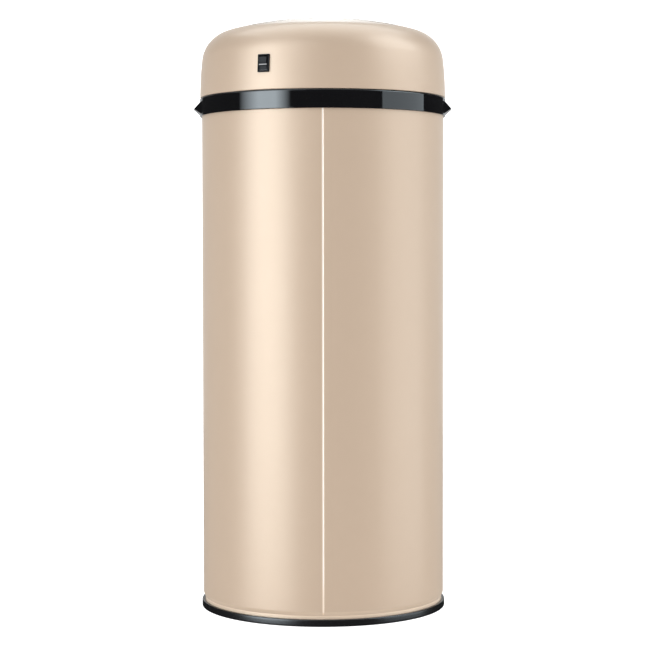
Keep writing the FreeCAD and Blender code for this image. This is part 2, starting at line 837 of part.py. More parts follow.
def flap_screw_places():
    return [(-flap_screw_x, flap_screw_y), (flap_screw_x, flap_screw_y),
            (-flap_screw_x, -flap_screw_x), (flap_screw_x, -flap_screw_x)]


def flap_screws():
    screws = []
    for x, y in flap_screw_places():
        top = dome_height_at(math.hypot(x, y), liner_inset + liner_thickness / 2) - seat_gap
        seat = dome_height_at(math.hypot(x, y), liner_bottom_inset - liner_gap) - flap_screw_boss_height
        screws.append(screw(x, y, seat, top, -1))
    return Part.Compound(screws)


def screw(x, y, seat, far, way):
    """Pan-head screw on a vertical axis: the head is under the seat where way is -1, over it where 1."""
    head_far = seat + way * screw_head_height
    head = rod_z(x, y, screw_head_radius, min(seat, head_far), max(seat, head_far))
    shank = rod_z(x, y, screw_radius, min(seat, far), max(seat, far))
    return head.fuse(shank).removeSplitter()


def sector_gear():
    wheel = gear(sector_module, sector_teeth, mesh_angle, hinge_y, hinge_z, sector_left, sector_right)
    reach = 2 * sector_radius
    first = math.radians(sector_first_angle)
    last = math.radians(sector_last_angle)
    middle = (first + last) / 2
    wedge = across([
        (hinge_y, hinge_z), (hinge_y + reach * math.cos(first), hinge_z + reach * math.sin(first)),
        (hinge_y + reach * math.cos(middle) * 2, hinge_z + reach * math.sin(middle) * 2),
        (hinge_y + reach * math.cos(last), hinge_z + reach * math.sin(last))],
        sector_left - overrun, sector_right + overrun)
    root = sector_radius - dedendum_share * sector_module
    web = sector_width * sector_web_share / 2
    web_face = rod_x(hinge_y, hinge_z, root - sector_rim_width, sector_left - overrun, sector_x - web)
    web_back = rod_x(hinge_y, hinge_z, root - sector_rim_width, sector_x + web, sector_right + overrun)
    sector = wheel.common(wedge).cut([web_face, web_back])
    hub = rod_x(hinge_y, hinge_z, sector_hub_radius, sector_left, sector_right)
    half = sector_arm_width / 2
    arm_back = math.hypot(sector_right, hinge_y + half)
    arm_top = dome_height_at(arm_back, liner_bottom_inset + seat_gap)
    arm = block(sector_left, sector_right, hinge_y - half, hinge_y + half, hinge_z, arm_top)
    body = joined(sector, [hub, arm])
    return body.cut(rod_x(hinge_y, hinge_z, shaft_radius + shaft_fit, sector_left - overrun,
                          sector_right + overrun))


# Hinge carriers
def hinge_bracket(side):
    centre = side * bracket_x
    left = centre - bracket_width / 2
    back = hinge_y + knuckle_radius
    head = knuckle_radius * knuckle_round_share
    plate = across([
        (bracket_front, base_plate_top), (back, base_plate_top), (back, hinge_z + knuckle_radius, head),
        (hinge_y - knuckle_radius, hinge_z + knuckle_radius, head),
        (bracket_waist_front, bracket_waist_height), (bracket_front, (bracket_waist_height + base_plate_top) / 2)],
        left, left + bracket_width)
    foot = block(centre - bracket_foot_width / 2, centre + bracket_foot_width / 2, bracket_front,
                 bracket_foot_back, base_plate_top, base_plate_top + bracket_foot_height)
    gusset = across([
        (back - knuckle_radius, base_plate_top), (bracket_foot_back, base_plate_top + bracket_foot_height),
        (back - knuckle_radius, bracket_waist_height)], left + bracket_width / 4, left + bracket_width * 3 / 4)
    bracket = joined(plate, [foot, gusset])
    return bracket.cut(rod_x(hinge_y, hinge_z, shaft_radius + shaft_fit, left - overrun,
                             left + bracket_width + overrun))


def hinge_shaft():
    end = bracket_x + bracket_width / 2 + shaft_radius / 2
    return rod_x(hinge_y, hinge_z, shaft_radius, -end, end)


# Gearbox
def case_corners():
    inset = case_wall + case_screw_inset / 2
    return [(case_front + inset, case_screw_height), (case_back - inset, case_screw_height)]


def case_foot_places():
    x = case_left - case_foot_width / 2
    return [(x, case_front + case_foot_length / 2), (x, case_back - case_foot_length / 2)]


def case_outline():
    return [(case_front, base_plate_top), (case_back, base_plate_top), (case_back, case_top),
            (case_front, case_top)]


def gearbox_case():
    back = across(case_outline(), case_left, case_inner_left)
    rim = across(case_outline(), case_left, case_inner_right)
    floor = base_plate_top + case_wall
    hollow = across([(case_front + case_wall, floor), (case_back - case_wall, floor),
                     (case_back - case_wall, case_top + overrun), (case_front + case_wall, case_top + overrun)],
                    case_inner_left, case_inner_right + overrun)
    pieces = [rim.cut(hollow)]
    for y, z in case_corners():
        pieces.append(rod_x(y, z, case_pillar_radius, case_inner_left, case_inner_right))
    for x, y in case_foot_places():
        pieces.append(block(x - case_foot_width / 2, case_left, y - case_foot_length / 2,
                            y + case_foot_length / 2, base_plate_top, base_plate_top + case_foot_thickness))
    case = joined(back, pieces)
    cuts = [rod_x(idler_y, idler_z, axle_radius + shaft_fit, case_left - overrun, case_inner_left + overrun),
            rod_x(motor_y, motor_z, motor_nose_radius + screw_gap, case_left - overrun,
                  case_inner_left + overrun)]
    for y, z in case_corners():
        cuts.append(rod_x(y, z, case_screw_radius + screw_gap, case_inner_left, case_right + overrun))
    for x, y in case_foot_places():
        cuts.append(rod_z(x, y, case_screw_radius + screw_gap, base_plate_top - overrun,
                          base_plate_top + case_foot_thickness + overrun))
    return case.cut(cuts)


def gearbox_cover():
    cover = across(case_outline(), case_inner_right, case_right)
    boss = rod_x(idler_y, idler_z, 2 * axle_radius, case_right, case_right + case_plate / 2)
    cover = joined(cover, [boss])
    cuts = [rod_x(idler_y, idler_z, axle_radius + shaft_fit, case_inner_right - overrun, case_right)]
    for y, z in case_corners():
        cuts.append(rod_x(y, z, case_screw_radius + screw_gap, case_inner_right - overrun,
                          case_right + overrun))
    return cover.cut(cuts)


def gear_axle():
    return rod_x(idler_y, idler_z, axle_radius, case_left, case_right)


def gearbox_screws():
    screws = []
    for y, z in case_corners():
        head = rod_x(y, z, screw_head_radius, case_right, case_right + screw_head_height)
        shank = rod_x(y, z, case_screw_radius, case_inner_left + case_wall, case_right)
        screws.append(head.fuse(shank).removeSplitter())
    for x, y in case_foot_places():
        seat = base_plate_top + case_foot_thickness
        head = rod_z(x, y, screw_head_radius, seat, seat + screw_head_height)
        shank = rod_z(x, y, case_screw_radius, base_plate_bottom, seat)
        screws.append(head.fuse(shank).removeSplitter())
    return Part.Compound(screws)


def idler_gear():
    small = gear(sector_module, pinion_teeth, mesh_angle - 180 + 180.0 / pinion_teeth, idler_y, idler_z,
                 pinion_left, wheel_left)
    large = gear(wheel_module, wheel_teeth, motor_angle, idler_y, idler_z, wheel_left, wheel_right)
    hub = rod_x(idler_y, idler_z, 2 * axle_radius, case_inner_left + seat_gap, pinion_left)
    hub_right = rod_x(idler_y, idler_z, 2 * axle_radius, wheel_right, case_inner_right - seat_gap)
    body = joined(small, [large, hub, hub_right])
    return body.cut(rod_x(idler_y, idler_z, axle_radius + shaft_fit, case_left, case_right))


def motor_pinion():
    left = wheel_left - motor_pinion_overlap
    right = wheel_right + motor_pinion_overlap
    body = gear(wheel_module, motor_teeth, motor_angle - 180 + 180.0 / motor_teeth, motor_y, motor_z,
                left, right)
    return body.cut(rod_x(motor_y, motor_z, motor_shaft_radius, left - overrun, right + overrun))


def motor_shaft():
    start = case_left - motor_shaft_seat
    return rod_x(motor_y, motor_z, motor_shaft_radius, start, wheel_right + motor_pinion_overlap)


def motor_can():
    left = case_left - motor_length
    can = rod_x(motor_y, motor_z, motor_radius, left, case_left)
    flats = block(left - overrun, case_left + overrun, motor_y - 2 * motor_radius, motor_y + 2 * motor_radius,
                  motor_z - motor_flat, motor_z + motor_flat)
    nose = rod_x(motor_y, motor_z, motor_nose_radius, case_left, case_left + motor_nose_length)
    can = joined(can.common(flats), [nose])
    return can.cut(rod_x(motor_y, motor_z, motor_shaft_radius + shaft_fit, case_left - motor_shaft_seat,
                         case_left + overrun))


def motor_cap():
    left = case_left - motor_length
    return rod_x(motor_y, motor_z, motor_cap_radius, left - motor_cap_length, left)


def motor_tabs():
    left = case_left - motor_length - motor_cap_length
    half = motor_tab_width / 2
    return Part.Compound([
        block(left - motor_tab_length, left, motor_y - half, motor_y + half,
              motor_z + side * motor_tab_spread - motor_tab_thickness / 2,
              motor_z + side * motor_tab_spread + motor_tab_thickness / 2) for side in (-1, 1)])


# Batteries
def door_block(grow, bottom, top):
    return block(battery_left + battery_wall - grow, battery_right - battery_wall + grow,
                 battery_front + battery_wall - grow, battery_back - battery_wall + grow, bottom, top)


def battery_case():
    outer = block(battery_left, battery_right, battery_front, battery_back, base_plate_top, battery_top)
    inner = door_block(0, base_plate_top - overrun, battery_top - battery_wall)
    case = outer.cut(inner)
    half = battery_wall / 2
    divider = block(battery_middle - half, battery_middle + half, battery_front + half, battery_back - half,
                    base_plate_top + battery_wall, battery_top - half)
    return joined(case, [divider])


def cell_axes():
    y = (battery_front + battery_back) / 2
    low = base_plate_top + battery_wall / 2 + cell_radius
    return [(y, low), (y, low + 2 * cell_radius + cell_row_gap / 2)]


def battery_cells():
    cells = []
    for bay in battery_bays():
        start = bay + contact_room
        for y, z in cell_axes():
            can = rod_x(y, z, cell_radius, start, start + cell_length)
            nub = rod_x(y, z, cell_nub_radius, start + cell_length, start + cell_length + cell_nub_length)
            cells.append(can.fuse(nub).removeSplitter())
    return Part.Compound(cells)


def battery_bays():
    return [battery_left + battery_wall, battery_middle + battery_wall / 2]


def battery_contacts():
    contacts = []
    for bay in battery_bays():
        for y, z in cell_axes():
            for start in (bay, bay + battery_bay - contact_sheet):
                contacts.append(block(start, start + contact_sheet, y - contact_half_width,
                                      y + contact_half_width, z - contact_half_width, z + contact_half_width))
            contacts.append(coil_spring(bay + contact_sheet, y, z))
    return Part.Compound(contacts)


def coil_spring(start, y, z):
    """Cone spring that presses a cell, as a cone-shaped sleeve of its outer shape."""
    length = contact_room - contact_sheet - seat_gap / 2
    cone = Part.makeCone(contact_half_width - contact_sheet, cell_nub_radius, length,
                         FreeCAD.Vector(start, y, z), axis_x)
    bore = Part.makeCone(contact_half_width - 4 * contact_sheet, cell_nub_radius / 2, length,
                         FreeCAD.Vector(start, y, z), axis_x)
    return cone.cut(bore)


def battery_door():
    door = door_block(0, base_plate_bottom, base_plate_top)
    middle = (battery_front + battery_back) / 2
    ridges = [block(battery_middle - contact_half_width, battery_middle + contact_half_width,
                    middle + step * battery_door_grip - battery_door_ridge / 2,
                    middle + step * battery_door_grip + battery_door_ridge / 2,
                    base_plate_bottom - battery_door_ridge, base_plate_bottom) for step in (-1, 0, 1)]
    return joined(door, ridges)


# Main board
def board_places():
    inset = board_boss_inset
    return [(board_left + inset, board_front + inset), (board_right - inset, board_front + inset),
            (board_left + inset, board_back - inset), (board_right - inset, board_back - inset)]


def control_board():
    board = block(board_left, board_right, board_front, board_back, board_height,
                  board_height + board_thickness)
    return board.cut([rod_z(x, y, case_screw_radius + screw_gap, board_height - overrun,
                            board_height + overrun) for x, y in board_places()])


def board_parts():
    top = board_height + board_thickness
    x = (board_left + board_right) / 2
    y = (board_front + board_back) / 2
    return Part.Compound([
        block(x - chip_length / 2, x + chip_length / 2, y - chip_width / 2, y + chip_width / 2,
              top, top + chip_height),
        rod_z(x - chip_length, y + chip_length, capacitor_radius, top, top + capacitor_height),
        block(x + chip_length / 2, x + chip_length / 2 + plug_length, board_front + plug_inset,
              board_front + plug_inset + plug_width, top, top + plug_height),
        block(x - chip_length - plug_length / 2, x - plug_length / 2, board_front + plug_inset,
              board_front + plug_inset + plug_width, top, top + plug_height)])


def board_screws():
    seat = board_height + board_thickness
    screws = []
    for x, y in board_places():
        head = rod_z(x, y, screw_head_radius, seat, seat + screw_head_height)
        shank = rod_z(x, y, case_screw_radius, base_plate_top + screw_gap, seat)
        screws.append(head.fuse(shank).removeSplitter())
    return Part.Compound(screws)


def case_screws():
    screws = []
    for side in (-1, 1):
        for y in frame_post_places:
            screws.append(screw(side * frame_post_x, y, base_plate_bottom,
                                base_plate_top + screw_length - seat_gap, -1))
    return Part.Compound(screws)


# Control panel, cut along Y through the front of the dome
def slot_prism(half_length, radius):
    bottom = panel_height - radius
    top = panel_height + radius
    straight = half_length - radius
    depth = dome_radius + overrun
    bar = block(-straight, straight, -depth, -depth / 2, bottom, top)
    ends = [rod_y(side * straight, panel_height, radius, -depth, -depth / 2) for side in (-1, 1)]
    return bar.fuse(ends).removeSplitter()


def panel_prism(grow):
    return slot_prism(panel_half_length + grow, panel_radius + grow)


def button_hole(side, radius):
    return rod_y(side * button_x, panel_height, radius, -dome_radius - overrun, -dome_radius / 2)


def sensor_post_places():
    return [(side * sensor_post_x, panel_height) for side in (-1, 1)]


def control_bezel():
    face = dome_layer(-panel_proud, dome_sheet + panel_gap).common(panel_prism(-panel_gap))
    flange = dome_layer(dome_sheet + panel_gap / 2, dome_sheet + panel_flange_thickness).common(
        panel_prism(panel_flange_width))
    posts = [rod_y(x, z, sensor_post_radius, -dome_radius, sensor_board_front)
             for x, z in sensor_post_places()]
    post_body = posts[0].fuse(posts[1:]).common(dome_body(dome_sheet + panel_gap))
    bezel = joined(face, [flange, post_body])
    cuts = [slot_prism(window_half_length, window_radius)]
    post_back = slot_prism(window_half_length, window_radius).common(
        dome_body(dome_sheet + panel_flange_thickness))
    cuts[0] = cuts[0].cut(post_back)
    for side in (-1, 1):
        cuts.append(button_hole(side, button_radius + button_gap))
    return bezel.cut(cuts)


def sensor_window():
    window = dome_layer(-window_proud, window_thickness).common(
        slot_prism(window_half_length - panel_gap, window_radius - panel_gap))
    return window


def push_button(side):
    reach = math.sqrt(dome_radius_at(panel_height) ** 2 - button_x ** 2)
    front = -reach - panel_proud - button_proud
    flange_back = dome_radius_at(panel_height + button_collar_radius) - dome_sheet - panel_flange_thickness
    collar_front = seat_gap - math.sqrt(flange_back ** 2 - (button_x + button_collar_radius) ** 2)
    back = collar_front + button_collar_thickness
    body = rod_y(side * button_x, panel_height, button_radius, front, back)
    edge = [e for e in body.Edges if abs(e.BoundBox.YMin - front) < seat_gap / 10
            and abs(e.BoundBox.YMax - front) < seat_gap / 10]
    body = body.makeFillet(button_proud / 2, edge)
    collar = rod_y(side * button_x, panel_height, button_collar_radius, collar_front, back)
    stem = rod_y(side * button_x, panel_height, tact_stem_radius, back, stem_back())
    return joined(body, [collar, stem])


def stem_back():
    return sensor_board_front - tact_height - button_travel - seat_gap / 2


def button_switches():
    half = tact_half_width
    switches = []
    for side in (-1, 1):
        x = side * button_x
        switches.append(block(x - half, x + half, sensor_board_front - tact_height, sensor_board_front,
                              panel_height - half, panel_height + half))
    return Part.Compound(switches)


def sensor_board():
    half = sensor_board_half_height
    return block(-sensor_board_half_length, sensor_board_half_length, sensor_board_front,
                 sensor_board_front + board_thickness, panel_height - half, panel_height + half)


def led(x, radius, length):
    """Round-nosed light source standing on the front of the sensor board."""
    front = sensor_board_front - length + radius
    body = rod_y(x, panel_height, radius, front, sensor_board_front)
    nose = Part.makeSphere(radius, FreeCAD.Vector(x, front, panel_height))
    return body.fuse(nose).removeSplitter()


# Power switch, built with its face towards +Y at the origin and then set square to the dome's side
def switch_place(shape):
    tilt = math.degrees(math.asin(switch_rise / dome_side_arc))
    placed = shape.copy()
    placed.rotate(origin, axis_x, tilt)
    placed.translate(FreeCAD.Vector(0, dome_radius_at(switch_height), switch_height))
    placed.rotate(origin, axis_z, -switch_turn)
    return placed


def switch_hole():
    half_width = switch_housing_width / 2 + switch_hole_gap
    half_tall = switch_housing_tall / 2 + switch_hole_gap
    return switch_place(block(-half_width, half_width, -overrun, overrun, -half_tall, half_tall))


def switch_body():
    half_width = switch_width / 2
    half_tall = switch_tall / 2
    plate = face_of([(-half_width, -half_tall, switch_corner_radius), (half_width, -half_tall, switch_corner_radius),
                     (half_width, half_tall, switch_corner_radius), (-half_width, half_tall, switch_corner_radius)],
                    point_rz)
    plate.translate(FreeCAD.Vector(0, -switch_proud, 0))
    plate = plate.extrude(FreeCAD.Vector(0, 2 * switch_proud, 0))
    plate = switch_place(plate).cut(dome_body(-frame_dome_gap / 4))
    half_width = switch_housing_width / 2
    half_tall = switch_housing_tall / 2
    housing = switch_place(block(-half_width, half_width, -switch_housing_depth, switch_proud / 2,
                                 -half_tall, half_tall))
    body = joined(plate, [housing])
    well_width = switch_width / 2 - switch_rim
    well_tall = switch_housing_tall / 2 - switch_rim / 2
    well = switch_place(block(-well_width + switch_rim / 2, well_width - switch_rim / 2, -rocker_well_depth,
                              switch_proud + overrun, -well_tall, well_tall))
    pin = switch_place(rod_x(-rocker_pivot_depth, 0, rocker_pin_radius + rocker_pin_gap,
                             -half_width - overrun / 10, half_width + overrun / 10))
    return body.cut([well, pin])


def switch_rocker():
    """Rocker with two faces that meet in a ridge, tilted so that its lower end is pressed in."""
    half = switch_width / 2 - switch_rim * 3 / 2 - rocker_gap
    tall = switch_housing_tall / 2 - switch_rim / 2 - 2 * rocker_gap
    face = face_of([(-rocker_root, -tall / 2), (switch_proud - rocker_end / 2, -tall), (rocker_end, -tall),
                    (rocker_ridge, 0), (rocker_end, tall), (switch_proud - rocker_end / 2, tall),
                    (-rocker_root, tall / 2)], point_yz)
    face.translate(FreeCAD.Vector(-half, 0, 0))
    body = face.extrude(FreeCAD.Vector(2 * half, 0, 0))
    pin = rod_x(-rocker_pivot_depth, 0, rocker_pin_radius, -switch_housing_width / 2 + rocker_gap / 2,
                switch_housing_width / 2 - rocker_gap / 2)
    body = joined(body, [pin])
    body.rotate(FreeCAD.Vector(0, -rocker_pivot_depth, 0), axis_x, rocker_rest_tilt)
    return switch_place(body)


def switch_tabs():
    half = switch_tab_width / 2
    tabs = [block(-half, half, -switch_housing_depth - switch_tab_length, -switch_housing_depth,
                  step * switch_tab_spread - switch_tab_thickness / 2,
                  step * switch_tab_spread + switch_tab_thickness / 2) for step in (-1, 0, 1)]
    return Part.Compound([switch_place(tab) for tab in tabs])


pieces = {
    "base_ring": base_ring, "foot_pads": foot_pads, "bottom_plate": bottom_plate, "body_shell": body_shell,
    "neck_ring": neck_ring,
    "dome_shell": dome_shell, "flap_frame": flap_frame, "flap_bumpers": flap_bumpers,
    "head_base": head_base, "chute": chute,
    "hinge_bracket_left": lambda: hinge_bracket(-1), "hinge_bracket_right": lambda: hinge_bracket(1),
    "hinge_shaft": hinge_shaft,
    "flap_skin": flap_skin, "flap_liner": flap_liner, "flap_screws": flap_screws, "sector_gear": sector_gear,
    "gearbox_case": gearbox_case, "gearbox_cover": gearbox_cover, "gear_axle": gear_axle,
    "gearbox_screws": gearbox_screws, "idler_gear": idler_gear,
    "motor_pinion": motor_pinion, "motor_shaft": motor_shaft, "motor_can": motor_can,
    "motor_cap": motor_cap, "motor_tabs": motor_tabs,
    "battery_case": battery_case, "battery_cells": battery_cells, "battery_contacts": battery_contacts,
    "battery_door": battery_door,
    "control_board": control_board, "board_parts": board_parts, "board_screws": board_screws,
    "case_screws": case_screws,
    "control_bezel": control_bezel, "sensor_window": sensor_window,
    "open_button": lambda: push_button(-1), "close_button": lambda: push_button(1),
    "button_switches": button_switches, "sensor_board": sensor_board,
    "infrared_emitter": lambda: led(-led_x, led_radius, led_length),
    "infrared_receiver": lambda: led(led_x, led_radius, led_length),
    "status_light": lambda: led(0, light_radius, led_length),
    "switch_body": switch_body, "switch_rocker": switch_rocker, "switch_tabs": switch_tabs,
}

os.makedirs("parts", exist_ok=True)
for name, make in pieces.items():
    shape = make()
    shape.exportStep("parts/" + name + ".step")
    print(name, len(shape.Solids), round(shape.Volume, 1), shape.isValid())
print("hinge axis", hinge_y, hinge_z, "idler axis", round(idler_y, 3), round(idler_z, 3),
      "motor axis", round(motor_y, 3), round(motor_z, 3))
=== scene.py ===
import json
import math
import bmesh
import bpy
import numpy as np
from mathutils import Matrix, Vector


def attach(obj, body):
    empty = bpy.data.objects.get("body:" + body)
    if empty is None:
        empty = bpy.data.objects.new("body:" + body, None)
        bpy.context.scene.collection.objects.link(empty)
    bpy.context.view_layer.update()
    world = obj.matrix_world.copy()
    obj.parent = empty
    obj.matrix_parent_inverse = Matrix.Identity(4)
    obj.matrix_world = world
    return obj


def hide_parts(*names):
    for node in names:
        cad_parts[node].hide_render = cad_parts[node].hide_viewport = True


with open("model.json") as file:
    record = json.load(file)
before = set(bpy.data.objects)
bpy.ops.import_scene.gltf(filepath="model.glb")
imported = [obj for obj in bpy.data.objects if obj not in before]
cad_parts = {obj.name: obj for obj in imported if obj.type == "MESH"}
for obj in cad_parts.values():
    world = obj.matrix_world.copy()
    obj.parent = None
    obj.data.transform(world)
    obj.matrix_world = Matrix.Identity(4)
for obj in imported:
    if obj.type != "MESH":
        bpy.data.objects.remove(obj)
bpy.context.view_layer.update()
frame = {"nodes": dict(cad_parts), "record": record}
solids = frame["nodes"]
print("frame loaded:", len(solids), "solids")

milli = 0.001  # every size below is in millimetres


def boxCorners(name):
    # Corners of a solid's box
    solid = solids[name]
    return np.array([solid.matrix_world @ Vector(corner) for corner in solid.bound_box]) / milli


def lowestOf(name):
    return boxCorners(name).min(0)


def highestOf(name):
    return boxCorners(name).max(0)


# Numpy helpers for surfaces on a grid of two parameters

def gridQuads(rows, columns, wrapRows):
    # Corners of each cell: its point, the next column's, the one across and the next row's; columns wrap
    # round, rows only where the surface closes that way
    row = np.arange(rows if wrapRows else rows - 1)
    column = np.arange(columns)
    nextRow = (row + 1) % rows
    nextColumn = (column + 1) % columns
    corners = [row[:, None] * columns + column, row[:, None] * columns + nextColumn,
               nextRow[:, None] * columns + nextColumn, nextRow[:, None] * columns + column]
    return np.stack(corners, axis=-1).reshape(-1, 4)


def filletedPath(corners, arcSteps=5, closed=True):
    # Each corner (a, b, radius) becomes an arc: its centre plus the two spokes, mixed by the shares
    # sin((1 - t) sweep) / sin(sweep) and sin(t sweep) / sin(sweep)
    table = np.array([(c[0], c[1], c[2] if len(c) > 2 else 0.0) for c in corners], dtype=float)
    here, radius = table[:, :2], table[:, 2:]
    back = np.roll(here, 1, axis=0) - here
    ahead = np.roll(here, -1, axis=0) - here
    if not closed:
        back[0], ahead[-1] = -ahead[0], -back[-1]
    back /= np.linalg.norm(back, axis=1, keepdims=True)
    ahead /= np.linalg.norm(ahead, axis=1, keepdims=True)
    half = np.arccos(np.clip((back * ahead).sum(1, keepdims=True), -0.999999, 0.999999)) / 2
    inward = back + ahead
    inward /= np.maximum(np.linalg.norm(inward, axis=1, keepdims=True), 1e-9)
    centre = here + inward * radius / np.sin(half)
    reach = radius / np.tan(half)
    spokeA = here + back * reach - centre
    spokeB = here + ahead * reach - centre
    sweep = (math.pi - 2 * half)[:, :, None]
    t = np.linspace(0, 1, arcSteps)[None, :, None]
    arcs = (spokeA[:, None] * np.sin((1 - t) * sweep) + spokeB[:, None] * np.sin(t * sweep)) / np.sin(sweep)
    points = (centre[:, None] + arcs).reshape(-1, 2)
    step = np.linalg.norm(points - np.roll(points, 1, axis=0), axis=1)
    step[0] = max(step[0], 1.0 if not closed else step[0])
    return points[step > 1e-5]


def refined(path, longest, closed=True):
    # Straight runs cut into equal steps no longer than the longest, by linear mixing of their two ends
    ends = np.roll(path, -1, axis=0) if closed else path[1:]
    starts = path if closed else path[:-1]
    runs = np.linalg.norm(ends - starts, axis=1)
    counts = np.maximum(np.ceil(runs / longest), 1).astype(int)
    index = np.repeat(np.arange(len(starts)), counts)
    offset = np.arange(counts.sum()) - np.repeat(np.cumsum(counts) - counts, counts)
    share = (offset / counts[index])[:, None]
    points = starts[index] * (1 - share) + ends[index] * share
    return points if closed else np.vstack([points, path[-1:]])


def arcPoints(centre, radius, first, last, count):
    # Points on a circle: centre + radius * (cos, sin) from the first angle to the last, in radians
    turn = np.linspace(first, last, count)
    return np.stack([centre[0] + radius * np.cos(turn), centre[1] + radius * np.sin(turn)], axis=1)


def turnedGrid(profile, angles, shift=0.0):
    # Radius and height carried round the upright axis: x = (r + shift) cos a, y = (r + shift) sin a and
    # z = height
    radius = profile[:, :1] + shift
    height = np.broadcast_to(profile[:, 1:2], (len(profile), len(angles)))
    return np.stack([radius * np.cos(angles), radius * np.sin(angles), height], axis=-1)


def smoothMin(a, b, width):
    # Lower of the two, rounded over the width: -w log(exp(-a/w) + exp(-b/w))
    return -width * np.logaddexp(-a / width, -b / width)


def makePiece(name, grid, body, material, replaced, wrapRows=True, sharp=35.0):
    # A (rows, columns, 3) grid in millimetres becomes one closed mesh with outward faces
    rows, columns = grid.shape[:2]
    quads = gridQuads(rows, columns, wrapRows)
    mesh = bpy.data.meshes.new(name)
    mesh.vertices.add(rows * columns)
    mesh.vertices.foreach_set("co", (grid * milli).astype(np.float32).ravel())
    mesh.loops.add(quads.size)
    mesh.loops.foreach_set("vertex_index", quads.astype(np.int32).ravel())
    mesh.polygons.add(len(quads))
    mesh.polygons.foreach_set("loop_start", np.arange(0, quads.size, 4, dtype=np.int32))
    mesh.update(calc_edges=True)
    mesh.validate()
    piece = bpy.data.objects.new(name, mesh)
    bpy.context.scene.collection.objects.link(piece)
    cleanUp(mesh, sharp)
    dress(piece, material)
    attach(piece, body)
    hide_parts(*replaced)
    return piece


def cleanUp(mesh, sharp):
    # Merges doubled points at poles and seams, then turns every face outwards
    work = bmesh.new()
    work.from_mesh(mesh)
    bmesh.ops.remove_doubles(work, verts=work.verts, dist=2e-6)
    bmesh.ops.dissolve_degenerate(work, edges=work.edges, dist=1e-7)
    bmesh.ops.recalc_face_normals(work, faces=work.faces)
    work.to_mesh(mesh)
    work.free()
    mesh.polygons.foreach_set("use_smooth", np.ones(len(mesh.polygons), dtype=bool))
    mesh.set_sharp_from_angle(angle=math.radians(sharp))
    mesh.update()


def dress(piece, material):
    piece.data.materials.clear()
    piece.data.materials.append(material)


def cutAway(piece, grids, sharp=35.0):
    # Takes closed cutters out of a finished piece with an exact boolean, then drops the cutters
    for grid in grids:
        rows, columns = grid.shape[:2]
        mesh = bpy.data.meshes.new("cutter")
        quads = gridQuads(rows, columns, False)
        mesh.from_pydata((grid.reshape(-1, 3) * milli).tolist(), [], quads.tolist())
        cleanUp(mesh, sharp)
        cutter = bpy.data.objects.new("cutter", mesh)
        bpy.context.scene.collection.objects.link(cutter)
        change = piece.modifiers.new("cut", "BOOLEAN")
        change.operation = "DIFFERENCE"
        change.solver = "EXACT"
        change.object = cutter
        bpy.context.view_layer.update()
        cut = bpy.data.meshes.new_from_object(piece.evaluated_get(bpy.context.evaluated_depsgraph_get()))
        piece.modifiers.clear()
        piece.data = cut
        bpy.data.objects.remove(cutter)
    piece.data.polygons.foreach_set("use_smooth", np.ones(len(piece.data.polygons), dtype=bool))
    piece.data.set_sharp_from_angle(angle=math.radians(sharp))


def closedColumn(outline, low, high, axis):
    # A closed outline carried from low to high with a pole at each end; axis says which coordinate it
    # runs along
    middle = outline.mean(0)
    levels = [(0.0, low), (1.0, low), (1.0, high), (0.0, high)]
    rows = []
    for grow, level in levels:
        flat = middle + (outline - middle) * grow
        along = np.full(len(outline), level)
        rows.append(np.insert(flat, axis, along, axis=1))
    return np.stack(rows)


# Shader helpers

def newMaterial(name):
    material = bpy.data.materials.new(name)
    material.use_nodes = True
    tree = material.node_tree
    tree.nodes.clear()
    output = tree.nodes.new("ShaderNodeOutputMaterial")
    shader = tree.nodes.new("ShaderNodeBsdfPrincipled")
    tree.links.new(shader.outputs["BSDF"], output.inputs["Surface"])
    return material, tree, shader


def addNode(tree, kind, **values):
    node = tree.nodes.new(kind)
    for key, value in values.items():
        setattr(node, key, value)
    return node


def startGroup(name, inputs, outputs):
    group = bpy.data.node_groups.new(name, "ShaderNodeTree")
    for label, value in inputs:
        socket = group.interface.new_socket(name=label, in_out="INPUT", socket_type="NodeSocketFloat")
        socket.default_value = value
    group.interface.new_socket(name="Place", in_out="INPUT", socket_type="NodeSocketVector")
    for label, kind in outputs:
        group.interface.new_socket(name=label, in_out="OUTPUT", socket_type=kind)
    return group, group.nodes.new("NodeGroupInput"), group.nodes.new("NodeGroupOutput")


def buildFineGrain():
    # Height: a fine and a coarse noise, mixed by the coarse share; the coarse noise alone is the tint
    group, entry, leave = startGroup(
        "fineGrain", [("Scale", 900.0), ("Coarse Scale", 60.0), ("Coarse Share", 0.3)],
        [("Height", "NodeSocketFloat"), ("Tint", "NodeSocketFloat")])
    fine = addNode(group, "ShaderNodeTexNoise")
    fine.inputs["Detail"].default_value = 4.0
    coarse = addNode(group, "ShaderNodeTexNoise")
    coarse.inputs["Detail"].default_value = 3.0
    blend = addNode(group, "ShaderNodeMix", data_type="FLOAT")
    link = group.links.new
    link(entry.outputs["Place"], fine.inputs["Vector"])
    link(entry.outputs["Place"], coarse.inputs["Vector"])
    link(entry.outputs["Scale"], fine.inputs["Scale"])
    link(entry.outputs["Coarse Scale"], coarse.inputs["Scale"])
    link(entry.outputs["Coarse Share"], blend.inputs["Factor"])
    link(fine.outputs["Fac"], blend.inputs["A"])
    link(coarse.outputs["Fac"], blend.inputs["B"])
    link(blend.outputs["Result"], leave.inputs["Height"])
    link(coarse.outputs["Fac"], leave.inputs["Tint"])
    return group


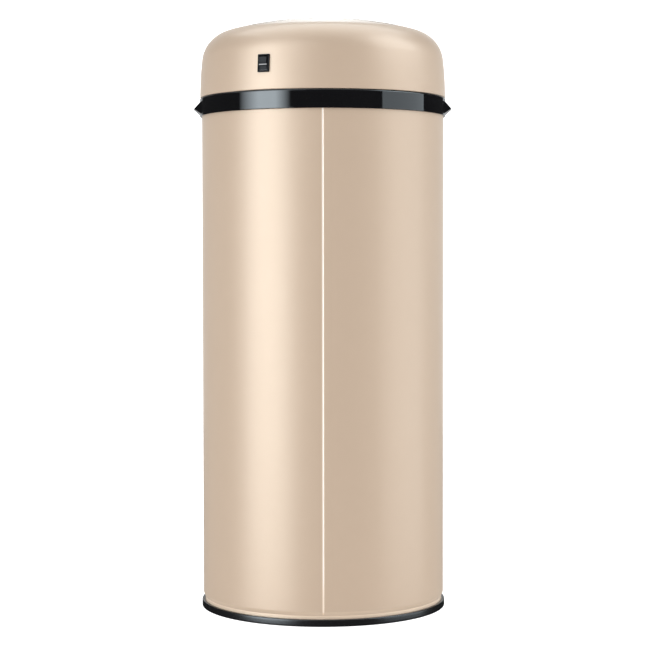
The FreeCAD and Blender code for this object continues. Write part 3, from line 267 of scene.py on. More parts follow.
def buildHandledGloss():
    # Roughness between two values, led by a soft smudge noise
    group, entry, leave = startGroup("handledGloss", [("Low", 0.2), ("High", 0.3), ("Scale", 14.0)],
                                     [("Roughness", "NodeSocketFloat")])
    smudge = addNode(group, "ShaderNodeTexNoise")
    smudge.inputs["Detail"].default_value = 5.0
    ramp = addNode(group, "ShaderNodeMapRange")
    ramp.inputs["From Min"].default_value = 0.15
    ramp.inputs["From Max"].default_value = 0.85
    link = group.links.new
    link(entry.outputs["Place"], smudge.inputs["Vector"])
    link(entry.outputs["Scale"], smudge.inputs["Scale"])
    link(smudge.outputs["Fac"], ramp.inputs["Value"])
    link(entry.outputs["Low"], ramp.inputs["To Min"])
    link(entry.outputs["High"], ramp.inputs["To Max"])
    link(ramp.outputs["Result"], leave.inputs["Roughness"])
    return group


def buildDustSpecks():
    # A mask of small specks: one where the nearest cell point is closer than the amount times a soft noise
    group, entry, leave = startGroup("dustSpecks", [("Scale", 260.0), ("Amount", 0.12)],
                                     [("Mask", "NodeSocketFloat")])
    cells = addNode(group, "ShaderNodeTexVoronoi")
    patchy = addNode(group, "ShaderNodeTexNoise")
    patchy.inputs["Scale"].default_value = 35.0
    size = addNode(group, "ShaderNodeMath", operation="MULTIPLY")
    speck = addNode(group, "ShaderNodeMath", operation="LESS_THAN")
    link = group.links.new
    link(entry.outputs["Place"], cells.inputs["Vector"])
    link(entry.outputs["Place"], patchy.inputs["Vector"])
    link(entry.outputs["Scale"], cells.inputs["Scale"])
    link(patchy.outputs["Fac"], size.inputs[0])
    link(entry.outputs["Amount"], size.inputs[1])
    link(cells.outputs["Distance"], speck.inputs[0])
    link(size.outputs[0], speck.inputs[1])
    link(speck.outputs[0], leave.inputs["Mask"])
    return group


fineGrain = buildFineGrain()
handledGloss = buildHandledGloss()
dustSpecks = buildDustSpecks()


def placed(tree, group, **values):
    node = addNode(tree, "ShaderNodeGroup", node_tree=group)
    place = addNode(tree, "ShaderNodeTexCoord")
    tree.links.new(place.outputs["Object"], node.inputs["Place"])
    for label, value in values.items():
        node.inputs[label].default_value = value
    return node


def paintedHighlightMix(tree, last, look):
    # Painted highlight: its lower colour comes in over the first half of the painted share, its bright
    # colour over the rest
    stripe = addNode(tree, "ShaderNodeAttribute", attribute_name="paintedHighlightShare")
    for colour, start in (("highlightLow", 0.0), ("edge", 0.5)):
        part = addNode(tree, "ShaderNodeMapRange")
        part.inputs["From Min"].default_value = start
        part.inputs["From Max"].default_value = start + 0.5
        bright = addNode(tree, "ShaderNodeMix", data_type="RGBA")
        bright.inputs["B"].default_value = (*look[colour], 1.0)
        tree.links.new(stripe.outputs["Fac"], part.inputs["Value"])
        tree.links.new(part.outputs["Result"], bright.inputs["Factor"])
        tree.links.new(last, bright.inputs["A"])
        last = bright.outputs["Result"]
    return last


def finishMaterial(name, look):
    # Base colour mottled by the grain, roughness between two values, and a bump of the grain's height
    material, tree, shader = newMaterial(name)
    for label, key, usual in (("Metallic", "metallic", 0.0), ("Specular IOR Level", "specular", 0.5),
                              ("Coat Weight", "coat", 0.0), ("Coat Roughness", "coatRoughness", 0.05),
                              ("Sheen Weight", "sheen", 0.0), ("Transmission Weight", "clear", 0.0)):
        shader.inputs[label].default_value = look.get(key, usual)
    shader.inputs["Sheen Roughness"].default_value = 0.3
    grain = placed(tree, fineGrain, **{"Scale": look["grainScale"], "Coarse Scale": look["mottleScale"],
                                      "Coarse Share": look.get("coarseShare", 0.3)})
    colours = addNode(tree, "ShaderNodeMix", data_type="RGBA")
    colours.inputs["A"].default_value = (*look["dark"], 1.0)
    colours.inputs["B"].default_value = (*look["light"], 1.0)
    tree.links.new(grain.outputs["Tint"], colours.inputs["Factor"])
    gloss = placed(tree, handledGloss, Low=look["roughLow"], High=look["roughHigh"])
    tree.links.new(gloss.outputs["Roughness"], shader.inputs["Roughness"])
    bump = addNode(tree, "ShaderNodeBump")
    bump.inputs["Strength"].default_value = look["bump"]
    bump.inputs["Distance"].default_value = look["bumpDepth"] * milli
    tree.links.new(grain.outputs["Height"], bump.inputs["Height"])
    tree.links.new(bump.outputs["Normal"], shader.inputs["Normal"])
    last = colours.outputs["Result"]
    if look.get("dust"):
        specks = placed(tree, dustSpecks, Amount=look["dust"])
        dusty = addNode(tree, "ShaderNodeMix", data_type="RGBA")
        dusty.inputs["B"].default_value = (*look["dustColour"], 1.0)
        tree.links.new(specks.outputs["Mask"], dusty.inputs["Factor"])
        tree.links.new(last, dusty.inputs["A"])
        last = dusty.outputs["Result"]
    # Mixes in the painted highlight colours where the piece carries a painted highlight share
    if look.get("edge"):
        last = paintedHighlightMix(tree, last, look)
    tree.links.new(last, shader.inputs["Base Color"])
    return material


looks = {
    # The lacquer's last two colours are painted highlight colours for the fold line and the necked-in foot
    "champagneLacquer": dict(dark=(0.627, 0.482, 0.361), light=(0.643, 0.496, 0.373), metallic=0.07,
                             specular=0.15, roughLow=0.38, roughHigh=0.42, grainScale=1500.0,
                             mottleScale=60.0, bump=0.2, bumpDepth=0.03, coat=0.20, coatRoughness=0.26,
                             sheen=0.20, highlightLow=(0.98, 0.78, 0.60), edge=(1.0, 0.93, 0.86)),
    "glossBlackMoulding": dict(dark=(0.006, 0.006, 0.007), light=(0.009, 0.009, 0.010), roughLow=0.03,
                               roughHigh=0.07, grainScale=700.0, mottleScale=30.0, bump=0.05,
                               bumpDepth=0.02, dust=0.05, dustColour=(0.08, 0.08, 0.08)),
    "satinBlackMoulding": dict(dark=(0.008, 0.008, 0.009), light=(0.012, 0.012, 0.013), specular=0.45,
                               roughLow=0.22, roughHigh=0.30, grainScale=900.0, mottleScale=40.0,
                               bump=0.12, bumpDepth=0.03, dust=0.05, dustColour=(0.08, 0.08, 0.08)),
    # The last two colours here are painted highlight colours for the rocker's ridge and lower end
    "switchBlack": dict(dark=(0.008, 0.008, 0.009), light=(0.012, 0.012, 0.013), specular=0.06,
                        roughLow=0.20, roughHigh=0.26, grainScale=900.0, mottleScale=90.0, bump=0.1,
                        bumpDepth=0.02, highlightLow=(0.16, 0.165, 0.17), edge=(0.72, 0.73, 0.75)),
    "texturedBlackMoulding": dict(dark=(0.018, 0.018, 0.019), light=(0.032, 0.032, 0.034),
                                  roughLow=0.48, roughHigh=0.62, grainScale=1400.0, mottleScale=40.0,
                                  bump=0.5, bumpDepth=0.08),
    "zincPlate": dict(dark=(0.50, 0.51, 0.52), light=(0.66, 0.66, 0.65), metallic=1.0, roughLow=0.24,
                      roughHigh=0.42, grainScale=500.0, mottleScale=55.0, bump=0.2, bumpDepth=0.04,
                      coarseShare=0.6),
    "blackRubber": dict(dark=(0.020, 0.020, 0.020), light=(0.045, 0.045, 0.044), roughLow=0.7,
                        roughHigh=0.85, grainScale=900.0, mottleScale=70.0, bump=0.4, bumpDepth=0.08),
    "whiteAcetal": dict(dark=(0.72, 0.71, 0.67), light=(0.80, 0.79, 0.75), roughLow=0.34,
                        roughHigh=0.44, grainScale=900.0, mottleScale=60.0, bump=0.15, bumpDepth=0.03),
    "plainBrass": dict(dark=(0.62, 0.44, 0.18), light=(0.78, 0.60, 0.30), metallic=1.0, roughLow=0.2,
                       roughHigh=0.35, grainScale=800.0, mottleScale=90.0, bump=0.15, bumpDepth=0.03),
    "boardGreen": dict(dark=(0.012, 0.13, 0.045), light=(0.02, 0.19, 0.07), roughLow=0.25,
                       roughHigh=0.34, grainScale=600.0, mottleScale=120.0, bump=0.25, bumpDepth=0.03,
                       coat=0.3),
    "cellSleeve": dict(dark=(0.035, 0.04, 0.05), light=(0.05, 0.055, 0.065), roughLow=0.28,
                       roughHigh=0.38, grainScale=500.0, mottleScale=50.0, bump=0.1, bumpDepth=0.03),
    "darkWindow": dict(dark=(0.010, 0.003, 0.004), light=(0.014, 0.004, 0.006), roughLow=0.04,
                       roughHigh=0.08, grainScale=500.0, mottleScale=30.0, bump=0.03, bumpDepth=0.02),
    "clearResin": dict(dark=(0.85, 0.88, 0.92), light=(0.92, 0.94, 0.96), roughLow=0.04, roughHigh=0.08,
                       clear=0.8, grainScale=400.0, mottleScale=60.0, bump=0.03, bumpDepth=0.02),
    "darkResin": dict(dark=(0.012, 0.006, 0.012), light=(0.018, 0.010, 0.018), roughLow=0.06,
                      roughHigh=0.1, grainScale=400.0, mottleScale=60.0, bump=0.03, bumpDepth=0.02),
    "greyKey": dict(dark=(0.19, 0.19, 0.20), light=(0.24, 0.24, 0.25), roughLow=0.26, roughHigh=0.34,
                    grainScale=1200.0, mottleScale=70.0, bump=0.15, bumpDepth=0.03),
    "switchGrey": dict(dark=(0.10, 0.10, 0.11), light=(0.14, 0.14, 0.15), roughLow=0.4, roughHigh=0.5,
                       grainScale=900.0, mottleScale=90.0, bump=0.2, bumpDepth=0.03),
}
finishes = {name: finishMaterial(name, look) for name, look in looks.items()}
slotFinish = {
    "painted_steel": "champagneLacquer", "gloss_black": "glossBlackMoulding",
    "matte_black": "texturedBlackMoulding", "zinc_steel": "zincPlate", "rubber": "blackRubber",
    "gear_white": "whiteAcetal", "brass": "plainBrass", "board_green": "boardGreen",
    "cell_wrap": "cellSleeve", "dark_window": "darkWindow", "led_clear": "clearResin",
    "led_dark": "darkResin", "button_grey": "greyKey", "tact_grey": "switchGrey",
}
for row in frame["record"]["subparts"]:
    dress(solids[row["node"]], finishes[slotFinish[row["material_slot"]]])
print("materials made:", len(finishes))


# Steel body: tube with a necked-in foot, a curled rim and a folded seam at the back

bodyTube = {"radius": highestOf("body_shell")[0], "sheet": 0.6, "low": lowestOf("body_shell")[2],
            "neckStep": 2.2, "neckTop": 12.5, "fullHeight": 17.1, "rimTop": highestOf("body_shell")[2],
            "curl": 1.8, "bend": 2.0, "seamWidth": 2.4, "seamDepth": 0.3, "lapWidth": 10.3,
            "lapStep": 0.14, "seamDrop": 9.9, "neckShine": 0.45, "coneShine": 0.42, "coneReach": 4.2,
            "lineDull": 0.3, "lapSoft": 0.8, "lapFade": 14.0, "seamFade": 3.0, "lineCore": 1.6,
            "lineFall": 1.3, "coneCore": 1.3}


def seamShape(angles, heights, size):
    # Depth of the fold line (a squared cosine groove) plus a smooth step at the lap's far edge, both faded
    # out at the top and the bottom
    arc = (angles - math.pi / 2) * size["radius"]
    seamTop = size["rimTop"] - size["seamDrop"]
    half = size["seamWidth"] / 2
    groove = np.where(np.abs(arc) < half, -size["seamDepth"] * np.cos(arc / half * math.pi / 2) ** 2, 0.0)
    ease = np.clip((size["lapWidth"] - arc) / size["lapSoft"] + 0.5, 0, 1)
    lap = np.where(arc > 0, -size["lapStep"] * (1 - ease * ease * (3 - 2 * ease)), 0.0)
    lap = lap * np.clip(1 - (arc - size["lapWidth"]) / size["lapFade"], 0, 1)
    fade = np.clip((heights - size["fullHeight"]) / size["seamFade"], 0, 1)
    fade = fade * np.clip((seamTop - heights) / size["seamFade"], 0, 1)
    return (groove + lap)[None, :] * fade[:, None]


def makeBodyTube(size):
    inner = size["radius"] - size["sheet"]
    neck = size["radius"] - size["neckStep"]
    neckInner = neck - size["sheet"]
    bend = size["bend"]
    curlLow = size["rimTop"] - size["curl"]
    curl = arcPoints((size["radius"] - size["curl"], curlLow), size["curl"], 0.0, 1.5 * math.pi, 14)
    corners = [(neck, size["low"], 0.25), (neck, size["neckTop"], bend),
               (size["radius"], size["fullHeight"], bend)]
    corners += [tuple(p) for p in curl]
    corners += [(inner, curlLow - size["curl"] * 1.2), (inner, size["fullHeight"], bend),
                (neckInner, size["neckTop"], bend), (neckInner, size["low"], 0.25)]
    profile = refined(filletedPath(corners, 7), 12.0)
    coarse = np.linspace(0, 2 * math.pi, 288, endpoint=False)
    # Finer columns at the fold line and at the lap's edge
    arc = np.concatenate([np.arange(-1.6, 1.61, 0.2), np.arange(9.2, 11.5, 0.2),
                          [12.5, 14.0, 17.0, 21.0, 25.0]])
    angles = np.unique(np.concatenate([coarse, math.pi / 2 + arc / size["radius"]]))
    outside = (profile[:, 0] > size["radius"] - 0.01)[:, None]
    shift = np.where(outside, seamShape(angles, profile[:, 1], size), 0.0)
    piece = makePiece("bodyTube", turnedGrid(profile, angles, shift), "bin_body",
                      finishes["champagneLacquer"], ["body_shell"])
    # Painted highlight on the fold line and painted floor light on the necked-in foot
    paintSeamAndFootHighlight(piece, size)
    return piece


def pointsOf(piece):
    # The piece's points as an array in millimetres
    flat = np.empty(len(piece.data.vertices) * 3, dtype=np.float32)
    piece.data.vertices.foreach_get("co", flat)
    return flat.reshape(-1, 3) / milli


def paintHighlightShare(piece, share):
    # Keeps the share of painted highlight at each point for the material
    layer = piece.data.attributes.new("paintedHighlightShare", "FLOAT", "POINT")
    layer.data.foreach_set("value", share.astype(np.float32))


def paintSeamAndFootHighlight(piece, size):
    # Share of painted highlight at each point: one on the fold line, a painted highlight; under a half on
    # the necked-in foot, painted light from the floor; none elsewhere
    points = pointsOf(piece)
    height = points[:, 2]
    arc = (np.arctan2(points[:, 1], points[:, 0]) - math.pi / 2) * size["radius"]
    reach = np.hypot(points[:, 0], points[:, 1])
    # The fold line's painted highlight, strongest on its middle and dimmer towards the foot
    line = np.clip(size["lineCore"] - np.abs(arc) / (size["seamWidth"] / 2) * size["lineFall"], 0, 1)
    line = line * (reach > size["radius"] - 0.5) * (height > size["fullHeight"] - 0.5)
    nearFoot = np.clip(3 - height / (size["fullHeight"] + size["bend"]), 0, 1)
    line = line * (1 - size["lineDull"] * nearFoot)
    # Painted floor light on the cone of the foot and on the neck below it
    fromCone = np.abs(height * 2 - size["fullHeight"] - size["neckTop"])
    cone = np.clip(size["coneCore"] - fromCone / size["coneReach"], 0, 1)
    foot = np.maximum(size["coneShine"] * cone, size["neckShine"] * (height < size["neckTop"]))
    paintHighlightShare(piece, np.maximum(line, foot))


makeBodyTube(bodyTube)
print("body tube made")


# Foot ring under the steel body

footRing = {"radius": highestOf("base_ring")[0], "innerRadius": 132.0, "height": 8.4, "edge": 1.2,
            "socketOuter": 148.1, "socketInner": 146.9, "upstand": 143.5,
            "upstandTop": highestOf("base_ring")[2], "ledge": 5.0, "socketFloor": 4.1,
            "padRadius": 7.15, "padInset": 10.7, "padDepth": 2.0}


def makeFootRing(size):
    bore, rim, top = size["innerRadius"], size["radius"], size["height"]
    outer, inner, wall = size["socketOuter"], size["socketInner"], size["upstand"]
    corners = [(bore, 0, 0.4), (rim, 0, 0.7), (rim, top, size["edge"]), (outer, top, 0.3),
               (outer, size["socketFloor"]), (inner, size["socketFloor"]), (inner, size["upstandTop"], 0.4),
               (wall, size["upstandTop"], 0.4), (wall, size["ledge"], 0.3), (bore, size["ledge"], 0.4)]
    profile = refined(filletedPath(corners, 6), 3.0)
    angles = np.linspace(0, 2 * math.pi, 320, endpoint=False)
    piece = makePiece("footRing", turnedGrid(profile, angles), "bin_body",
                      finishes["satinBlackMoulding"], ["base_ring"])
    pockets = []
    around = np.linspace(0, 2 * math.pi, 48, endpoint=False)
    place = size["radius"] - size["padInset"]
    for turn in np.radians([45, 135, 225, 315]):
        outline = np.stack([place * math.cos(turn) + size["padRadius"] * np.cos(around),
                            place * math.sin(turn) + size["padRadius"] * np.sin(around)], axis=1)
        pockets.append(closedColumn(outline, -3.0, size["padDepth"], 2))
    cutAway(piece, pockets)
    return piece


makeFootRing(footRing)
print("foot ring made")


# Gloss black ring with a finger tab on each side

bagRing = {"radius": highestOf("neck_ring")[1], "bottom": lowestOf("neck_ring")[2] + 7.5,
           "top": highestOf("neck_ring")[2], "wall": 2.2, "flange": 2.5, "bore": 138.0, "skirt": 2.0,
           "skirtBottom": lowestOf("neck_ring")[2], "edge": 0.9, "tabRoot": 152.2, "tabTip": 160.3,
           "tabTopRise": 18.3, "tabTipRise": 9.0, "tabBottomRise": 1.7, "tabHalf": 30.6,
           "tabTipHalf": 20.0, "tabSoft": 0.22, "tabCut": 0.35}


def tabReach(angles, heights, size):
    # Radius of the wedge: lower of the two slopes in height and of the drawn-in end planes, with rounded
    # meeting lines and a blunt tip
    root, tip, tipRise = size["tabRoot"], size["tabTip"], size["tabTipRise"]
    rise = tip - root
    level = heights - size["bottom"]
    over = root + rise * (size["tabTopRise"] - level) / (size["tabTopRise"] - tipRise)
    under = root + rise * (level - size["tabBottomRise"]) / (tipRise - size["tabBottomRise"])
    slope = rise / (size["tabHalf"] - size["tabTipHalf"])
    side = np.abs(np.sin(angles))
    ends = (tip + slope * size["tabTipHalf"]) / (np.abs(np.cos(angles)) + slope * side)
    # No wedge far from the two sides
    ends = np.where(side < math.sin(math.pi / 6), ends, root - 5)
    inHeight = smoothMin(over, under, size["tabSoft"])
    wedge = smoothMin(inHeight[:, None], ends[None, :], size["tabSoft"])
    return smoothMin(wedge, np.full_like(wedge, tip + size["tabCut"]), size["tabSoft"])


def makeBagRing(size):
    inner = size["radius"] - size["wall"]
    hook = size["bore"] + size["skirt"]
    under = size["top"] - size["flange"]
    corners = [(inner, size["bottom"], 0.3), (size["radius"], size["bottom"], size["edge"]),
               (size["radius"], size["top"], size["edge"]), (size["bore"], size["top"], size["edge"]),
               (size["bore"], size["skirtBottom"], 0.4), (hook, size["skirtBottom"], 0.4),
               (hook, under, 0.4), (inner, under, 0.4)]
    profile = refined(filletedPath(corners, 7), 0.35)
    coarse = np.linspace(0, 2 * math.pi, 256, endpoint=False)
    reach = math.asin(size["tabHalf"] / size["radius"]) + 0.01
    dense = np.linspace(-reach, reach, 150)
    angles = np.unique(np.round(np.concatenate([coarse, dense % (2 * math.pi), dense + math.pi]), 6))
    wall = (profile[:, 0] > size["radius"] - 0.02)[:, None]
    wedge = tabReach(angles, profile[:, 1], size)
    shift = np.where(wall, np.maximum(wedge - size["radius"], 0.0), 0.0)
    return makePiece("bagRing", turnedGrid(profile, angles, shift), "bag_ring",
                     finishes["glossBlackMoulding"], ["neck_ring"], sharp=50.0)


makeBagRing(bagRing)
print("bag ring made")


# Painted dome with the flap opening in its top

domeCap = {"radius": highestOf("dome_shell")[0], "base": lowestOf("dome_shell")[2],
           "top": highestOf("flap_skin")[2], "sideArc": 428.4, "shoulderArc": 39.1, "crownArc": 440.2,
           "sheet": 0.8, "rim": 3.6, "roll": 1.1, "flapHalf": 86.0, "flapCentre": -32.0,
           "flapBack": 84.0, "flapCorner": 20.0, "openingGrow": 3.2, "panelRise": 24.0,
           "panelHalf": 46.0, "panelRadius": 12.0, "panelFrom": -165.0, "panelTo": -90.0}


def domeCircles(size):
    # Centres of the three tangent arcs and the angles where they meet, as in the solid
    side = np.array([size["radius"] - size["sideArc"], size["base"]])
    crown = np.array([0.0, size["top"] - size["crownArc"]])
    sideReach = size["sideArc"] - size["shoulderArc"]
    crownReach = size["crownArc"] - size["shoulderArc"]
    span = np.linalg.norm(crown - side)
    along = (sideReach ** 2 - crownReach ** 2 + span ** 2) / (2 * span)
    off = math.sqrt(sideReach ** 2 - along ** 2)
    unit = (crown - side) / span
    shoulder = side + along * unit + off * np.array([-unit[1], unit[0]])
    low = math.atan2(shoulder[1] - side[1], shoulder[0] - side[0])
    high = math.atan2(shoulder[1] - crown[1], shoulder[0])
    return side, shoulder, crown, low, high


domeSide, domeShoulder, domeCrown, domeLow, domeHigh = domeCircles(domeCap)


def crownHeight(radius, inset):
    # Height of the crown sphere, moved inwards by the inset, over a radius
    return domeCrown[1] + np.sqrt((domeCap["crownArc"] - inset) ** 2 - radius ** 2)


def flapOutline(grow, count=60):
    # The rounded D: half circle in front, straight sides, round rear corners and a straight rear, offset
    # by grow
    half, back = domeCap["flapHalf"] + grow, domeCap["flapBack"] + grow
    corner, centre = domeCap["flapCorner"] + grow, domeCap["flapCentre"]
    front = arcPoints((0, centre), half, math.pi, 2 * math.pi, 2 * count + 1)
    right = np.linspace((half, centre), (half, back - corner), count // 2 + 2)[1:-1]
    rearRight = arcPoints((half - corner, back - corner), corner, 0, math.pi / 2, count // 2)
    rear = np.linspace((half - corner, back), (corner - half, back), count + 2)[1:-1]
    rearLeft = arcPoints((corner - half, back - corner), corner, math.pi / 2, math.pi, count // 2)
    left = np.linspace((-half, back - corner), (-half, centre), count // 2 + 2)[1:-1]
    return np.concatenate([front, right, rearRight, rear, rearLeft, left])


def makeDomeCap(size):
    # Rows run from the opening down the outside, round the rolled edge and back up the inside; columns run
    # round the opening
    outline = flapOutline(size["openingGrow"], 72)
    angles = np.arctan2(outline[:, 1], outline[:, 0])
    open0 = np.hypot(outline[:, 0], outline[:, 1])
    share = np.linspace(0, 1, 14)[:, None] ** 0.8

    def crownRows(inset):
        edge = (size["crownArc"] - inset) * math.cos(domeHigh)
        radius = open0 * (1 - share) + edge * share
        return radius, crownHeight(radius, inset)

    def lowerRows(inset):
        shoulder = arcPoints(domeShoulder, size["shoulderArc"] - inset, domeHigh, domeLow, 22)[1:]
        side = arcPoints(domeSide, size["sideArc"] - inset, domeLow, 0.0, 26)[1:]
        return np.concatenate([shoulder, side])

    outer, inner = lowerRows(0.0), lowerRows(size["sheet"])
    foot = size["base"]
    tail = [(size["radius"], foot, size["roll"]), (size["radius"] - size["rim"], foot, 0.3),
            (size["radius"] - size["rim"], foot + size["sheet"], 0.3),
            (size["radius"] - size["sheet"], foot + size["sheet"])]
    corners = [tuple(outer[-3])] + tail + [tuple(inner[-3])]
    hem = filletedPath(corners, 8, closed=False)
    keepOut = outer[outer[:, 1] > foot + size["roll"] * 1.2]
    keepIn = inner[inner[:, 1] > foot + size["sheet"] * 1.3]
    belowOut = hem[:, 1] < keepOut[-1, 1]
    belowIn = (hem[:, 1] < keepIn[-1, 1]) | (hem[:, 0] > size["radius"] - 0.4)
    hem = hem[belowOut & belowIn]
    turned = np.concatenate([keepOut, hem, keepIn[::-1]])
    lowRadius = np.repeat(turned[:, :1], len(angles), axis=1)
    lowHeight = np.repeat(turned[:, 1:], len(angles), axis=1)
    outRadius, outHeight = crownRows(0.0)
    inRadius, inHeight = crownRows(size["sheet"])
    radius = np.concatenate([outRadius, lowRadius, inRadius[::-1]])
    height = np.concatenate([outHeight, lowHeight, inHeight[::-1]])
    grid = np.stack([radius * np.cos(angles), radius * np.sin(angles), height], axis=-1)
    piece = makePiece("domeCap", grid, "head", finishes["champagneLacquer"],
                      ["dome_shell"])
    straight = size["panelHalf"] - size["panelRadius"]
    level = size["base"] + size["panelRise"]
    right = arcPoints((straight, level), size["panelRadius"], -math.pi / 2, math.pi / 2, 24)
    left = arcPoints((-straight, level), size["panelRadius"], math.pi / 2, 1.5 * math.pi, 24)
    panel = closedColumn(np.concatenate([right, left]), size["panelFrom"], size["panelTo"], 1)
    wide, tall = powerSwitch["holeHalf"], powerSwitch["holeTall"]
    window = np.array([(-wide, -tall), (wide, -tall), (wide, tall), (-wide, tall)])
    socket = switchPlaced(closedColumn(window, -powerSwitch["holeIn"], powerSwitch["holeOut"], 1))
    cutAway(piece, [panel, socket])
    return piece


# The power switch is worked out facing +Y at the origin, then tilted, set on the shoulder and turned

powerSwitch = {"turn": 27.1, "rise": 30.7, "width": 15.0, "tall": 21.0, "proud": 2.0, "rim": 1.4,
               "corner": 0.8, "housingWidth": 12.8, "housingTall": 18.6, "housingDepth": 16.0,
               "wellDepth": 7.0, "edge": 0.45, "pivotDepth": 2.0, "restTilt": -9.0, "rockerHalf": 5.05,
               "rockerTall": 7.9, "ridge": 3.6, "end": 2.6, "root": 3.0, "hollow": 0.55,
               "ridgeLight": 0.5, "ridgeDrop": 1.0, "endLight": 0.5, "holeHalf": 6.7, "holeTall": 9.6,
               "holeIn": 5.0, "holeOut": 6.0}


def switchMatrix():
    size = powerSwitch
    tilt = math.asin(size["rise"] / domeCap["sideArc"])
    reach = domeSide[0] + domeCap["sideArc"] * math.cos(tilt)
    turn = Matrix.Rotation(math.radians(-size["turn"]), 4, "Z")
    place = Matrix.Translation((0, reach, domeCap["base"] + size["rise"]))
    return np.array(turn @ place @ Matrix.Rotation(tilt, 4, "X"))


def switchPlaced(points):
    return points @ switchMatrix()[:3, :3].T + switchMatrix()[:3, 3]


def roundedBox(halfWide, halfTall, corner, steps=6):
    # A rectangle with round corners as one closed loop of points
    return filletedPath([(-halfWide, -halfTall, corner), (halfWide, -halfTall, corner),
                         (halfWide, halfTall, corner), (-halfWide, halfTall, corner)], steps)


def makeSwitchFrame(size):
    # Bezel and housing as one closed surface: loops (half width, half height, corner, height) carried from
    # the rear to the well
    edge = size["edge"]
    wide, tall = size["width"] / 2, size["tall"] / 2
    bodyWide, bodyTall = size["housingWidth"] / 2, size["housingTall"] / 2
    wellWide, wellTall = wide - size["rim"] * 1.5, bodyTall - size["rim"] / 2
    outside = filletedPath([(0.0, -1.4), (0.0, size["proud"], edge), (size["rim"], size["proud"], edge),
                            (size["rim"] + 0.4, 0.4)], 7, closed=False)
    loops = [(bodyWide, bodyTall, 0.4, -size["housingDepth"]), (bodyWide, bodyTall, 0.4, -1.4)]
    loops += [(wide - inset, tall - inset, max(size["corner"] - inset * 0.3, 0.3), height)
              for inset, height in outside]
    loops += [(wellWide, wellTall, 0.3, 0.35), (wellWide, wellTall, 0.3, -size["wellDepth"])]
    rows = [np.insert(roundedBox(a, b, c), 1, height, axis=1) for a, b, c, height in loops]
    rearPole = rows[0] * np.array([0.0, 1.0, 0.0])
    wellPole = rows[-1] * np.array([0.0, 1.0, 0.0])
    grid = switchPlaced(np.stack([rearPole] + rows + [wellPole]))
    return makePiece("switchFrame", grid, "head", finishes["switchBlack"], ["switch_body"],
                     wrapRows=False, sharp=40.0)


def makeRocker(size):
    # Section loop in depth and height (two hollow faces meeting in a ridge) carried across the width and
    # shrunk at its round ends
    tall, ridge, end, root = size["rockerTall"], size["ridge"], size["end"], size["root"]
    t = np.linspace(0, 1, 18)
    dip = size["hollow"] * 4 * t * (1 - t)
    lower = np.stack([end + (ridge - end) * t - dip, -tall + tall * t], axis=1)
    upper = np.stack([ridge + (end - ridge) * t - dip, tall * t], axis=1)
    nose = [(end - 0.5, tall), (0.4, tall - 0.1, 0.5), (-root, tall / 2, 0.8), (-root, -tall / 2, 0.8),
            (0.4, 0.1 - tall, 0.5), (end - 0.5, -tall)]
    loop = np.concatenate([lower, upper[1:], filletedPath(nose, 5, closed=False)])
    middle = loop.mean(0)
    half, edge = size["rockerHalf"], 0.5
    turn = np.linspace(0, math.pi / 2, 7)
    left = [(-half + edge - edge * math.sin(a), edge - edge * math.cos(a)) for a in turn[::-1]]
    spans = [(-half, None)] + left + [(-x, inset) for x, inset in left[::-1]] + [(half, None)]
    reach = np.linalg.norm(loop - middle, axis=1, keepdims=True)
    rows = []
    for x, inset in spans:
        if inset is None:
            flat = np.repeat(middle[None, :], len(loop), axis=0)
        else:
            flat = middle + (loop - middle) * (1 - inset / reach)
        rows.append(np.insert(flat, 0, x, axis=1))
    grid = np.stack(rows)
    angle = math.radians(size["restTilt"])
    grid[..., 1] += size["pivotDepth"]
    depth, rise = grid[..., 1].copy(), grid[..., 2].copy()
    grid[..., 1] = depth * math.cos(angle) - rise * math.sin(angle) - size["pivotDepth"]
    grid[..., 2] = depth * math.sin(angle) + rise * math.cos(angle)
    piece = makePiece("rocker", switchPlaced(grid), "power_rocker", finishes["switchBlack"],
                      ["switch_rocker"], wrapRows=False, sharp=50.0)
    # Painted highlights: the ridge, and more faintly the lower end, both on the front of the rocker
    own = (pointsOf(piece) - switchMatrix()[:3, 3]) @ switchMatrix()[:3, :3]
    depth, rise = own[:, 1] + size["pivotDepth"], own[:, 2]
    lift = rise * math.cos(angle) - depth * math.sin(angle)
    front = depth * math.cos(angle) + rise * math.sin(angle) > size["pivotDepth"] + end / 2
    ridgeShare = np.clip(1.5 - np.abs(lift + size["ridgeDrop"]) / size["ridgeLight"], 0, 1)
    endShare = size["endLight"] * np.clip(1.5 - np.abs(lift + tall) / size["ridgeLight"], 0, 1)
    paintHighlightShare(piece, np.maximum(ridgeShare, endShare) * front)
    return piece


makeDomeCap(domeCap)
makeSwitchFrame(powerSwitch)
makeRocker(powerSwitch)
print("dome cap and power switch made")


# Flap skin: the piece of the dome's top that opens

flapSkin = {"sheet": 0.8, "hem": 2.2, "roll": 0.7, "middle": -12.0}


def crownRow(outline, inset, drop=0.0):
    # An outline laid on the crown sphere, moved inwards by the inset and lowered by the drop
    return np.column_stack([outline, crownHeight(np.hypot(outline[:, 0], outline[:, 1]), inset) - drop])


def makeFlapSkin(size):
    # Rows: centre to edge on the crown, a quarter round, down the hem, and back to the centre under the
    # sheet
    sheet, roll = size["sheet"], size["roll"]
    middle = np.array([0.0, size["middle"]])
    share = np.linspace(0, 1, 34)
    base, inner = flapOutline(-roll), flapOutline(-sheet)
    rows = [crownRow(middle + (base - middle) * amount, 0.0) for amount in share]
    for turn in np.linspace(0, math.pi / 2, 7)[1:]:
        outline = flapOutline(-roll + roll * math.sin(turn))
        rows.append(crownRow(outline, 0.0, roll * (1 - math.cos(turn))))
    rows.append(crownRow(flapOutline(0.0), sheet + size["hem"]))
    rows.append(crownRow(inner, sheet + size["hem"]))
    rows += [crownRow(middle + (inner - middle) * amount, sheet) for amount in share[::-1]]
    return makePiece("flapSkin", np.stack(rows), "flap", finishes["champagneLacquer"],
                     ["flap_skin"], wrapRows=False)


makeFlapSkin(flapSkin)
print("flap skin made")


# Floor, backdrop, lights and camera

